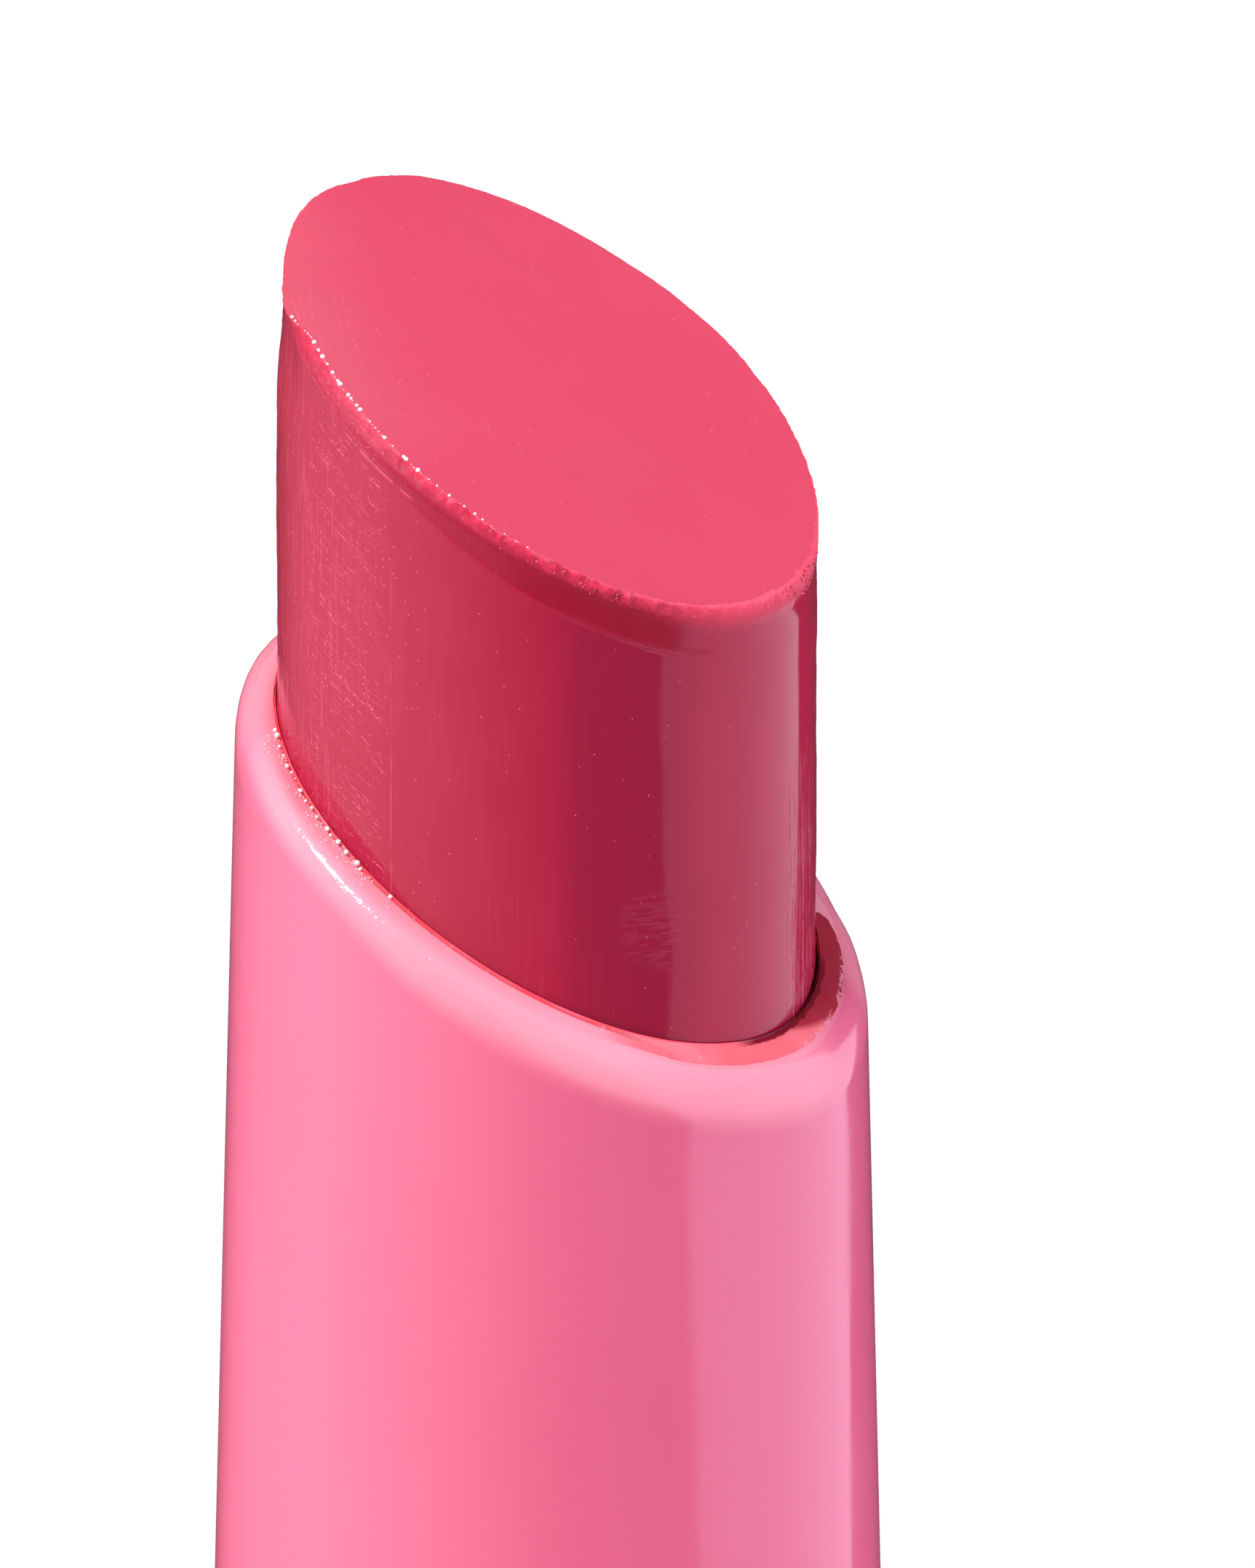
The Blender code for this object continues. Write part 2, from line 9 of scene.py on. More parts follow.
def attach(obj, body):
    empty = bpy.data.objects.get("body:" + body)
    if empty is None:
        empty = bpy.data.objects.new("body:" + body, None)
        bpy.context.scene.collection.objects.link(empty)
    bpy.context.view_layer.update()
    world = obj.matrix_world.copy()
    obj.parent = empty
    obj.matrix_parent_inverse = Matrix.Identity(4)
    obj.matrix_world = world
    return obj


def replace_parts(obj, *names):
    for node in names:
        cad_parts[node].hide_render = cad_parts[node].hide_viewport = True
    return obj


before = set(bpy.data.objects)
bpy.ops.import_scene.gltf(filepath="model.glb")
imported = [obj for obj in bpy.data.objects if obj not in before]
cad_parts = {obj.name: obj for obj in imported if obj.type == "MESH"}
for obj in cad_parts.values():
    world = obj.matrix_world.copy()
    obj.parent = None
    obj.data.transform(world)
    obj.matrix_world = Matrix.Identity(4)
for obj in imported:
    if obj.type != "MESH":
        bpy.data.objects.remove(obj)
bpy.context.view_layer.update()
scene = bpy.context.scene
mm = 0.001

# Sizes that several pieces share, in millimetres. The slant falls towards +X.
stick = {
    "slantDegrees": 32.3,
    "cutHeight": 87.44,  # middle of the bullet's cut
    "mouthHeight": 80.24,  # middle of the nozzle's mouth
    "boreRadius": 4.36,
    "sightDegrees": 38,  # side from which the photograph is taken
}
slope = tan(radians(stick["slantDegrees"]))
tip = Vector((0, 0, stick["mouthHeight"])) * mm

# How finely a turned piece is made
turning = {
    "wedges": 24,  # one wedge is spun and then copied, which is quicker
    "roundSteps": 10,
    "weld": 0.0005,
    "sideSteps": 192,  # steps round the lower shells
}


def ramp(low, high, value):
    share = min(1, max(0, (value - low) / (high - low)))
    return share * share * (3 - 2 * share)


def quarterRound(value):
    # 0 at 0 and 1 at 1, along a quarter of a circle
    share = min(1, max(0, value))
    return 1 - (1 - share * share) ** 0.5


def around(table, angle):
    # value at an angle, eased between the (angle, value) pairs of a table
    for (first, low), (second, high) in zip(table, table[1:]):
        if angle <= second:
            return low + (high - low) * ramp(first, second, angle)
    return table[-1][1]


def sightAngle(x, y):
    # degrees round the stick, 0 at the picture's right-hand side, -90 at its front
    return (degrees(atan2(y, x)) - stick["sightDegrees"] + 180) % 360 - 180


def turnTo(angle):
    # a sight angle as radians from +X
    return radians(angle + stick["sightDegrees"])


def onStick(angle, radius, height):
    # point on the slanted plane through the axis at this height
    turn = turnTo(angle)
    x, y = radius * cos(turn), radius * sin(turn)
    return Vector((x, y, height - slope * x)) * mm


def leanOut(vert, radius, height):
    # puts a vertex at this radius on its own side, and leans it with the slant
    x, y, z = vert.co / mm
    flat = Vector((x, y)).length
    x, y = x * radius / flat, y * radius / flat
    vert.co = Vector((x, y, height - slope * x)) * mm


def smearEdge(x, y, waves):
    # uneven edge of smeared gloss, from (size, scale) pairs of noise
    return sum(size * noise.noise(Vector((x, y, 0)) * scale) for size, scale in waves)


def lathe(outline, steps, stretch=1, turn=2 * pi, closed=True):
    # outline holds (radius, height, rounding, loops to the next point), in millimetres
    bm = bmesh.new()
    places = [Vector((r, 0, z / stretch)) * mm for r, z, rounding, loops in outline]
    points = [bm.verts.new(place) for place in places]
    for pair in zip(points, points[1:] + points[:1] if closed else points[1:]):
        bm.edges.new(pair)
    for point, (r, z, rounding, loops) in zip(points, outline):
        if rounding:
            bmesh.ops.bevel(bm, geom=[point], offset=rounding * mm, offset_type="OFFSET",
                            segments=turning["roundSteps"], profile=0.5, affect="VERTICES", material=-1)
    for start, stop, (r, z, rounding, loops) in zip(places, places[1:] + places[:1], outline):
        if loops:
            # the bevels have shortened the edge, so it is found between its points
            longest = (stop - start).length + 0.0001 * mm
            near = [edge for edge in bm.edges
                    if all((start - v.co).length + (stop - v.co).length < longest for v in edge.verts)]
            edge = max(near, key=lambda edge: edge.calc_length())
            bmesh.ops.subdivide_edges(bm, edges=[edge], cuts=loops)
    bmesh.ops.scale(bm, vec=(1, 1, stretch), verts=bm.verts)
    wedges = turning["wedges"]
    axis = {"cent": (0, 0, 0), "axis": (0, 0, 1)}
    bmesh.ops.spin(bm, geom=bm.verts[:] + bm.edges[:], angle=turn / wedges, steps=steps // wedges, **axis)
    bmesh.ops.spin(bm, geom=bm.verts[:] + bm.edges[:] + bm.faces[:], angle=turn * (wedges - 1) / wedges,
                   steps=wedges - 1, use_duplicate=True, **axis)
    bmesh.ops.remove_doubles(bm, verts=bm.verts, dist=turning["weld"] * mm)
    return bm


def meshObject(name, bm, materials):
    mesh = bpy.data.meshes.new(name)
    bm.to_mesh(mesh)
    bm.free()
    for material in materials:
        mesh.materials.append(material)
    made = bpy.data.objects.new(name, mesh)
    scene.collection.objects.link(made)
    return made


def finishPiece(bm, name, body, materials, sharpDegrees=40):
    bmesh.ops.recalc_face_normals(bm, faces=bm.faces)
    piece = meshObject(name, bm, materials)
    piece.data.shade_smooth()
    piece.data.set_sharp_from_angle(angle=radians(sharpDegrees))
    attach(piece, body)
    return piece


class Level:
    # a socket that can stand in a sum, where | gives the larger of two numbers
    def __init__(self, sheet, socket):
        self.sheet, self.socket = sheet, socket

    def output(self, key):
        # another output of the same node
        return Level(self.sheet, self.socket.node.outputs[key])

    def maths(self, operation, *terms):
        return self.sheet.node("Math", {"operation": operation}, dict(enumerate(terms)))

    def __add__(self, other):
        return self.maths("ADD", self, other)

    def __sub__(self, other):
        return self.maths("SUBTRACT", self, other)

    def __rsub__(self, other):
        return self.maths("SUBTRACT", other, self)

    def __mul__(self, other):
        return self.maths("MULTIPLY", self, other)

    def __truediv__(self, other):
        return self.maths("DIVIDE", self, other)

    def __rtruediv__(self, other):
        return self.maths("DIVIDE", other, self)

    def __or__(self, other):
        return self.maths("MAXIMUM", self, other)

    def __abs__(self):
        return self.maths("ABSOLUTE", self)

    __radd__, __rmul__, __ror__ = __add__, __mul__, __or__


class Sheet:
    # one node tree, of a material or of the world
    def __init__(self, owner):
        owner.use_nodes = True
        self.owner, self.tree = owner, owner.node_tree
        self.tree.nodes.clear()

    def node(self, kind, settings=None, inputs=None, out=0):
        made = self.tree.nodes.new("ShaderNode" + kind)
        for key, value in (settings or {}).items():
            if key == "stops":
                stops = made.color_ramp.elements
                while len(stops) < len(value):
                    stops.new(0.5)
                for stop, (place, colour) in zip(stops, value):
                    stop.position, stop.color = place, colour
            else:
                setattr(made, key, value)
        for key, value in (inputs or {}).items():
            if isinstance(value, Level):
                self.tree.links.new(value.socket, made.inputs[key])
            else:
                made.inputs[key].default_value = value
        return Level(self, made.outputs[out]) if made.outputs else made

    def between(self, value, low, high, to=(0, 1)):
        # eases from to[0] at low to to[1] at high
        inputs = {"Value": value, "From Min": low, "From Max": high, "To Min": to[0], "To Max": to[1]}
        return self.node("MapRange", {"interpolation_type": "SMOOTHSTEP"}, inputs)

    def fade(self, value, low, high):
        # 1 up to low, eased to 0 at high
        return self.between(value, low, high, (1, 0))

    def strip(self, value, start, full, ebb, stop):
        # 1 from full to ebb, eased to 0 at start and stop
        return self.between(value, start, full) * self.fade(value, ebb, stop)

    def mix(self, share, first, second):
        return self.node("Mix", {"data_type": "RGBA"}, {0: share, 6: first, 7: second}, out=2)

    def coats(self, colour, *coats):
        # lays (share, colour) pairs over one another
        for share, coat in coats:
            colour = self.mix(share, colour, coat)
        return colour

    def noise(self, vector, scale, detail, roughness=0.5, kind="3D"):
        inputs = {"Vector": vector, "Scale": scale, "Detail": detail, "Roughness": roughness}
        return self.node("TexNoise", {"noise_dimensions": kind}, inputs)

    def bump(self, strength, height, distance=0.02 * mm):
        return self.node("Bump", {}, {"Strength": strength, "Distance": distance, "Height": height})

    def glow(self, strength, colour=(1, 1, 1, 1)):
        return self.node("Emission", {}, {"Strength": strength, "Color": colour})

    def surface(self, colour, roughness, normal=None, more=None):
        # closes a material, where more holds what is the same all over
        inputs = {"Base Color": colour, "Roughness": roughness, **(more or {})}
        if normal:
            inputs["Normal"] = normal
        return self.close("OutputMaterial", self.node("BsdfPrincipled", {}, inputs))

    def close(self, kind, shader):
        self.node(kind, {}, {0: shader})
        return self.owner


def shade(red, green, blue):
    # screen values 0-255 as a linear colour
    values = [((v / 255 + 0.055) / 1.055) ** 2.4 if v > 10 else v / 255 / 12.92 for v in (red, green, blue)]
    return (*values, 1)


class Finish(Sheet):
    # a material that knows where on the stick a point lies, in millimetres
    def __init__(self, name):
        super().__init__(bpy.data.materials.new(name))
        self.point = self.node("TexCoord", out=3)
        split = self.node("SeparateXYZ", {}, {0: self.point})
        self.x, self.y, self.z = (split.output(axis) * (1 / mm) for axis in range(3))
        self.radius = self.x.maths("SQRT", self.x * self.x + self.y * self.y)

    def under(self, height):
        # depth below the slanted plane through this height of the axis
        return height - self.z - self.x * slope

    def facing(self, angle):
        # 1 on the side of this sight angle, 0 a quarter turn from it, -1 behind
        turn = turnTo(angle)
        return (self.x * cos(turn) + self.y * sin(turn)) / (self.radius + 0.001)

    def side(self, angle, low, high, to=(0, 1)):
        return self.between(self.facing(angle), low, high, to)

    def grain(self, scale, detail=2):
        return self.noise(self.point, scale, detail)

    def patches(self, scale, low=0.3, high=0.7, detail=2, to=(0, 1)):
        # soft patches, this many to the metre
        return self.between(self.grain(scale, detail), low, high, to)

    def streaks(self, across, along, detail, roughness=0.5):
        # noise with one scale across and one along the stick, for lines along it
        scales = (across / mm, across / mm, along / mm)
        point = self.node("VectorMath", {"operation": "MULTIPLY"}, {0: self.point, 1: scales})
        return self.noise(point, 1, detail, roughness)

    def rows(self, across, along, detail=3, roughness=0.6, kind="3D"):
        # noise on two numbers in place of the point
        point = self.node("CombineXYZ", {}, {0: across, 1: along, 2: 0})
        return self.noise(point, 1, detail, roughness, kind)

    def cells(self, scale):
        return self.node("TexVoronoi", {"feature": "F1"}, {"Vector": self.point, "Scale": scale})

    def pricks(self, scale, size, spread, rare):
        # pinpricks in cells of this scale, where noise of the scale spread passes rare
        dots = self.fade(self.cells(scale), size, size + 0.07)
        return dots * self.between(self.grain(spread, 1) - rare, 0, 0.02)


def clouded(share, tint, depth, ior):
    # share of light that enters, how far each colour goes, the depth, and how it bends
    return {"Subsurface Weight": share, "Subsurface Radius": tint, "Subsurface Scale": depth * mm, "IOR": ior}


# Pink plastic of nozzle, collar, barrel and plug
shellFinish = {
    "pink": (0.84, 0.138, 0.265, 1),
    "palePink": (0.86, 0.145, 0.275, 1),
    "litThinEdge": (1, 0.262, 0.36, 1),  # painted light on the mouth's rounding, strongest on its lit front, over plastic that is thinner there
    "litPaleEdge": (1, 0.325, 0.425, 1),  # painted light on the rounding's left front, where the left light falls
    # painted light on the rim's left and back rounding
    "litBackEdge": (1, 0.26, 0.35, 1),
    "bleed": (1, 0.045, 0.07, 1),  # gloss that shows through the mouth's inner edge
    "bleedReach": 0.1,
    "coated": (0.42, 0.01, 0.03, 1),  # gloss wiped off on the bore
    "fleck": shade(255, 225, 235),
    "roughness": 0.11, "peel": 0.08,
    "body": clouded(0.35, (1, 0.45, 0.5), 1.2, 1.49),
}


def mouthCoats(sheet, depth):
    # what the mouth's edge adds to the plastic's colour, from the outside in, with painted light on its
    # rounding
    bore = stick["boreRadius"]
    # painted light on the rounding, strongest on the lit front
    litThin = sheet.fade(depth, 0.35, 0.88) * sheet.side(-50, -0.2, 0.6, (0.45, 1))
    litThin = litThin * sheet.side(-75, 0.5, 0.78, (0.1, 1))
    litThin = litThin + sheet.between(depth, 0.3, 0.8, (0.9, 0)) * sheet.side(20, 0.9, 0.96)
    # painted light on the rounding's left front
    pale = sheet.fade(depth, 0.12, 0.66) * sheet.side(-120, 0.45, 0.85)
    # painted light on the rim's left and back rounding
    inner = sheet.fade(sheet.radius, 4.45, 4.85) * sheet.side(-176, 0.84, 0.92)
    behind = sheet.fade(sheet.radius, 4.7, 5.15) * sheet.side(168, 0.9, 0.97)
    edge = sheet.fade(sheet.radius, bore + 0.02, bore + shellFinish["bleedReach"])
    edge = edge * sheet.fade(depth, 0.05, 0.3) * sheet.side(-100, 0.38, 0.5)
    wall = sheet.fade(sheet.radius, bore + 0.01, bore + 0.03) * sheet.between(depth, 0.02, 0.06)
    shares = {"litThinEdge": litThin, "litPaleEdge": pale, "litBackEdge": inner | behind, "bleed": edge, "coated": wall}
    return [(share, shellFinish[name]) for name, share in shares.items()]


def shellPlastic(name, mouth=False):
    look = shellFinish
    sheet = Finish(name)
    colour = sheet.mix(sheet.patches(220, detail=3), look["pink"], look["palePink"])
    peel, rub = sheet.grain(900), 0
    if mouth:
        depth = sheet.under(stick["mouthHeight"])
        colour = sheet.coats(colour, *mouthCoats(sheet, depth))
        rub = sheet.fade(depth, 0.3, 0.7) * sheet.side(-140, 0.6, 0.9)
        peel = peel + rub * sheet.patches(6500, 0.48, 0.6) * 2.5
    fleck = sheet.fade(sheet.cells(1100), 0.03, 0.07) * sheet.patches(500, 0.62, 0.66)
    colour = sheet.mix(fleck * 0.7, colour, look["fleck"])
    dull = sheet.patches(350, to=(look["roughness"] - 0.03, look["roughness"] + 0.05))
    dull = dull + fleck * 0.3 + rub * 0.05
    return sheet.surface(colour, dull, sheet.bump(look["peel"], peel), look["body"])


# Waxy coral gloss of the bullet
glossFinish = {
    "deep": (0.43, 0.013, 0.05, 1),
    "bright": (0.47, 0.016, 0.058, 1),
    "cut": (0.62, 0.031, 0.087, 1),
    "paleCut": (0.65, 0.037, 0.098, 1),
    # dark red of the painted shadow under the lip and in its creases, also of the dark lines along the stick
    "hollow": (0.35, 0.004, 0.028, 1),
    "shaded": (0.35, 0.013, 0.048, 1),
    # fresh skin of the lip, painted lighter as light falls on the lip; litSkin is its lit copy towards the
    # right
    "skin": (0.84, 0.038, 0.096, 1),
    "litSkin": (0.99, 0.068, 0.134, 1),
    "edgeCut": (0.66, 0.062, 0.115, 1),
    # pale colour of scratches and marks, also of the painted highlights along the cut's edge and a fold
    "scratch": (0.88, 0.17, 0.27, 1),
    "roughness": 0.07,
    "ridges": ((-113.4, 1), (-107.5, 0.6), (-101.5, 0.5)),  # sight angle and strength
    "body": clouded(0.15, (1, 0.3, 0.3), 0.5, 1.45),
    "shine": {"Specular IOR Level": 0.24},
}


def bladeHollowShadow(sheet, depth):
    # painted shadow of the lip in the blade's hollow under the cut's front edge, its strength, and the
    # wrinkles at its end with painted shade in their creases
    low = 0.82 * sheet.facing(-67) - 0.01
    wobble = 0.03 * (sheet.grain(2500, 3) - 0.5)
    shadowBand = sheet.between(depth + wobble, 0.16, 0.24) * sheet.fade(depth + wobble - low, -0.015, 0.015)
    shadowBand = shadowBand * sheet.side(-48, 0, 0.35) * sheet.fade(sheet.facing(28), -0.02, 0.08)
    shadowStrength = sheet.side(-75, 0.75, 1, (0.55, 1)) * sheet.patches(1500, 0.35, 0.6, 4, (0.8, 1))
    folds = sheet.rows(depth * 11 + wobble * 30, sheet.facing(-90) * 4, 2, 0.5)
    shadedCreases = sheet.between(folds, 0.54, 0.6) * sheet.strip(depth, 0.5, 0.56, 0.84, 0.9)
    return shadowBand, shadowStrength, shadedCreases * sheet.side(-61, 0.985, 0.996)


def freshAndLitSkin(sheet, depth, right):
    # fresh skin on the lip, painted lighter where light falls on it and further down at the right, its
    # mottling, and a painted highlight along the cut's edge
    skin = 0.14 + 0.18 * sheet.between(right, 0.2, 1) - 0.01 * sheet.side(-150, 0.8, 0.95)
    ragged = depth + 0.22 * (sheet.grain(5200, 3) - 0.5)
    litFresh = sheet.fade((ragged - skin) / (1 + 2 * sheet.between(right, 0.4, 0.9)), -0.14, 0.06)
    mottled = sheet.patches(6000, 0.4, 0.58, 4, (0.35, 1))
    mottled = mottled | sheet.side(-150, 0.85, 0.97, (0, 0.6)) | sheet.between(right, 0.55, 0.85)
    return litFresh, mottled, sheet.fade(ragged, 0, 0.05) * sheet.side(-90, 0.2, 0.6)


def drawnLines(sheet, depth):
    # lines drawn along the stick, strongest where the nozzle rubs
    lines = sheet.streaks(17, 0.7, 4, 0.65)
    rubbed = sheet.side(-17, 0.982, 0.992) * sheet.between(depth, 2.6, 4.4)
    worn = sheet.side(-172, 0.8, 0.92) * 0.7 + rubbed * 0.3
    broken = sheet.between(sheet.streaks(30, 5, 2), 0.44, 0.52)
    streak = sheet.between(lines, 0.53, 0.6) * worn + sheet.between(lines, 0.56, 0.61) * rubbed * broken
    return lines, worn, streak


def peeledRidges(sheet, depth):
    # ragged ridges at the right, low down, where the nozzle peeled the stick
    sway = 0.03 * (sheet.streaks(2.5, 1.6, 3) - 0.5)
    peeled = 0
    for side, strength in glossFinish["ridges"]:
        peeled = sheet.fade(abs(sheet.facing(side) + sway), 0.003, 0.009) * strength + peeled
    broken = sheet.between(sheet.streaks(14, 4, 2), 0.42, 0.52)
    return peeled * sheet.between(depth, 4.2, 5.2) * broken


def fineMarks(sheet, depth):
    # dotted scratches along the cut, pinpricks, a mould line, and a fold with a painted highlight along it
    parting = sheet.facing(-35)
    rows = sheet.rows(depth * 5, parting * 2)
    scratch = sheet.strip(rows, 0.585, 0.595, 0.602, 0.612)
    scratch = scratch + sheet.strip(rows, 0.49, 0.495, 0.5, 0.505) * 0.7
    scratch = scratch * sheet.patches(22000, 0.44, 0.52, 1)
    scratch = scratch * sheet.fade(parting, -0.05, 0) * sheet.side(-138, 0.955, 0.985)
    prick = sheet.pricks(8500, 0.08, 5200, sheet.side(-144, 0.8, 0.97, (0.64, 0.46)))
    mould = sheet.fade(abs(parting), 0.002, 0.005) * sheet.between(depth, 1.6, 2.4)
    mould = mould * sheet.patches(1800, 0.35, 0.6)
    foldHighlight = sheet.strip(depth, 0.4, 0.42, 0.45, 0.47) * sheet.side(-129, 0.985, 0.99)
    foldHighlight = foldHighlight * sheet.patches(3000, 0.4, 0.5)
    return scratch * 0.85 | prick | mould * 0.3 | foldHighlight * 0.5


def levelScuffs(sheet, depth):
    # short level scuffs in front, low down
    scuffs = sheet.rows(sheet.facing(20) * 9, sheet.z * 14)
    scuffs = sheet.between(scuffs, 0.5, 0.6) * sheet.side(-67, 0.99, 0.997)
    return scuffs * sheet.strip(depth, 4.6, 5.2, 5.8, 6.2)


def glossSide():
    look = glossFinish
    sheet = Finish("glossSide")
    depth, right = sheet.under(stick["cutHeight"]), sheet.facing(-20)
    cloud = sheet.grain(260, 3)
    shadowBand, shadowStrength, shadedCreases = bladeHollowShadow(sheet, depth)
    litFresh, mottled, edgeHighlight = freshAndLitSkin(sheet, depth, right)
    lines, worn, streak = drawnLines(sheet, depth)
    peeled = peeledRidges(sheet, depth)
    marks = fineMarks(sheet, depth)
    scuffs = levelScuffs(sheet, depth)
    # pale streaks along the stick, on its left side
    paleLeftStreaks = sheet.between(lines, 0.47, 0.6) * sheet.between(cloud, 0.35, 0.65, (0, 0.045))
    colour = sheet.coats(
        sheet.mix(sheet.between(cloud, 0.3, 0.7), look["deep"], look["bright"]),
        (sheet.side(-72, 0.945, 0.997), look["shaded"]),
        # painted shadow under the lip, then painted shade in its creases
        (shadowBand * shadowStrength, look["hollow"]),
        (shadedCreases * 0.7, look["hollow"]),
        # fresh skin, partly painted light on the lip
        (litFresh * mottled, sheet.mix(sheet.between(right, 0.6, 0.9), look["skin"], look["litSkin"])),
        # painted highlight along the cut's edge
        (edgeHighlight * 0.35, look["scratch"]),
        (streak * 0.18, look["scratch"]),
        (sheet.fade(lines, 0.36, 0.44) * worn * 0.35, look["hollow"]),
        (paleLeftStreaks * sheet.side(-120, 0.6, 0.95), look["scratch"]),
        (peeled * 0.5, look["scratch"]),
        # marks, with the fold's painted highlight
        (marks * 0.7, look["scratch"]),
        (scuffs * 0.05, look["scratch"]),
    )
    torn = sheet.between(depth, 0.24, 0.34, (0.42, 0))
    dull = look["roughness"] + streak * 0.15 + marks * 0.2 + torn + shadowBand * 0.25 + scuffs * 0.1 + peeled * 0.25
    height = marks * 0.5 + streak * 0.9 + lines * 0.12 + sheet.grain(700, 3) * 0.5 + scuffs * 0.5
    height = height + litFresh * sheet.grain(9000, 3) * 3 + shadedCreases * -1.5 + peeled * 1.2
    return sheet.surface(colour, dull, sheet.bump(0.25, height), look["body"] | look["shine"])


def glossCut():
    look = glossFinish
    sheet = Finish("glossCut")
    specks = sheet.pricks(8000, 0.1, 4200, sheet.side(-155, 0.5, 1, (0.645, 0.6)))
    rows = sheet.rows(sheet.radius * 7, sheet.facing(-80) * 3)
    rows = sheet.strip(rows, 0.58, 0.6, 0.61, 0.63) * sheet.patches(22000, 0.48, 0.56, 1)
    rows = rows * sheet.side(-165, 0.93, 0.98) * sheet.between(sheet.radius, 2.8, 3.4)
    specks = specks | rows * 0.7
    # paler towards the cut's left edge
    paleLeftEdge = sheet.between(sheet.radius, 2.2, 4.2) * sheet.side(-168, 0.6, 0.95)
    colour = sheet.mix(sheet.patches(180, detail=3), look["cut"], look["paleCut"])
    colour = sheet.coats(colour, (paleLeftEdge, look["edgeCut"]), (specks * 0.7, look["scratch"]))
    normal = sheet.bump(0.12, specks + sheet.grain(500, 3) * 0.5)
    return sheet.surface(colour, sheet.patches(300, to=(0.34, 0.42)), normal, look["body"])


# Gloss left on the mouth: a thin film and a bright seam
smearFinish = {
    "film": (shade(246, 122, 135), shade(241, 102, 116)),
    # painted shadow that the bullet casts on the film
    "paintedBulletShadow": shade(160, 12, 46),
    # painted shade in the crevice between bullet and film
    "crevice": shade(126, 0, 30),
    "hair": shade(240, 150, 172),
    "body": clouded(0.2, (1, 0.3, 0.3), 0.4, 1.45),
    "shine": {"Specular IOR Level": 0.04},
    "seam": (shade(250, 58, 78), shade(255, 88, 108)),
    "shadedSeam": shade(236, 30, 70),
    # painted shade on the seam in the crevice
    "creviceSeamShade": shade(140, 2, 34),
}


def glossFilm():
    look = smearFinish
    sheet = Finish("glossFilm")
    thick = sheet.patches(900, 0.35, 0.65, 3)
    # painted shadow of the bullet on the film's right-hand part
    paintedBulletShadow = sheet.between(sheet.facing(-2) + (4.49 - sheet.radius) * 0.25, 0.885, 0.925)
    wobble = 0.04 * (sheet.grain(3500, 3) - 0.5)
    # painted shade along the crevice at the film's inner edge
    crevice = sheet.fade(sheet.radius + wobble * 3, 4.42, 4.46) * sheet.side(-22, 0.9, 0.95)
    rim = sheet.between(sheet.radius + wobble, 4.67, 4.72) * sheet.side(-8, 0.9, 0.96)
    hair = sheet.patches(9000, 0.46, 0.56)
    colour = sheet.coats(sheet.mix(thick, *look["film"]), (paintedBulletShadow * 0.9, look["paintedBulletShadow"]),
                         (crevice, look["crevice"]), (rim * hair * 0.75, look["hair"]))
    ragged = 0.1 * (sheet.grain(2200, 3) - 0.5)
    whole = sheet.between(sheet.facing(-25) + ragged, 0.55, 0.84)
    inside = sheet.fade(sheet.radius + ragged - 0.5 * sheet.side(-25, 0.5, 0.85), 4.05, 4.4)
    normal = sheet.bump(0.3, sheet.grain(1600, 3))
    more = look["body"] | look["shine"] | {"Alpha": whole | inside}
    return sheet.surface(colour, sheet.between(thick, 0, 1, (0.3, 0.2)), normal, more)


def glossSeam():
    look = smearFinish
    sheet = Finish("glossSeam")
    colour = sheet.coats(sheet.mix(sheet.patches(1500, 0.35, 0.65, 3), *look["seam"]),
                         (sheet.side(-12, 0.82, 0.95), look["shadedSeam"]),
                         # painted shade on the seam in the crevice
                         (sheet.side(-22, 0.9, 0.95), look["creviceSeamShade"]))
    dull = sheet.patches(800, to=(0.25, 0.4))
    return sheet.surface(colour, dull, sheet.bump(0.3, sheet.grain(3000, 3)), {"IOR": 1.45})


# Droplets and crumbs: two colours, scale of the patches, roughness from and to, shine
crumbShine = {"IOR": 1.45, "Specular IOR Level": 0.25}
dropFinish = {
    # droplets coloured near white as painted glints
    "glintBead": (shade(255, 240, 243), shade(255, 252, 252), 2500, (0.1, 0.22),
                  {"IOR": 1.45, "Coat Weight": 1, "Coat Roughness": 0.08}),
    "glossCrumb": (shade(204, 40, 66), shade(240, 104, 126), 4000, (0.15, 0.35), crumbShine),
    "paleGlossCrumb": (shade(216, 110, 134), shade(240, 168, 184), 4000, (0.15, 0.35), crumbShine),
}


def glossDrop(name):
    dark, pale, scale, dull, shine = dropFinish[name]
    sheet = Finish(name)
    colour = sheet.mix(sheet.patches(scale, 0.4, 0.6), dark, pale)
    return sheet.surface(colour, sheet.patches(5000, to=dull), more=shine)


# Plastics, rubber and steel of the drive
driveFinish = {
    "natural": (shade(226, 222, 212), shade(236, 233, 226)),
    "naturalBody": clouded(0.25, (1, 0.9, 0.8), 0.8, 1.48),
    "rubber": (shade(24, 24, 25), shade(38, 38, 40)),
    "steel": (shade(176, 177, 180), shade(198, 199, 202)),
}


def naturalPlastic():
    sheet = Finish("naturalPlastic")
    flow = sheet.streaks(0.5, 0.12, 4)
    colour = sheet.mix(sheet.between(flow, 0.3, 0.7), *driveFinish["natural"])
    grease = sheet.patches(420, 0.5, 0.7, 3)
    normal = sheet.bump(0.15, sheet.grain(1400, 3), 0.03 * mm)
    return sheet.surface(colour, 0.42 - grease * 0.22, normal, driveFinish["naturalBody"])


def greasedRubber():
    sheet = Finish("greasedRubber")
    colour = sheet.mix(sheet.patches(1500, 0.35, 0.65, 3), *driveFinish["rubber"])
    film = sheet.patches(700, 0.45, 0.6)
    return sheet.surface(colour, 0.62 - film * 0.35, sheet.bump(0.3, sheet.grain(6000)), {"IOR": 1.5})


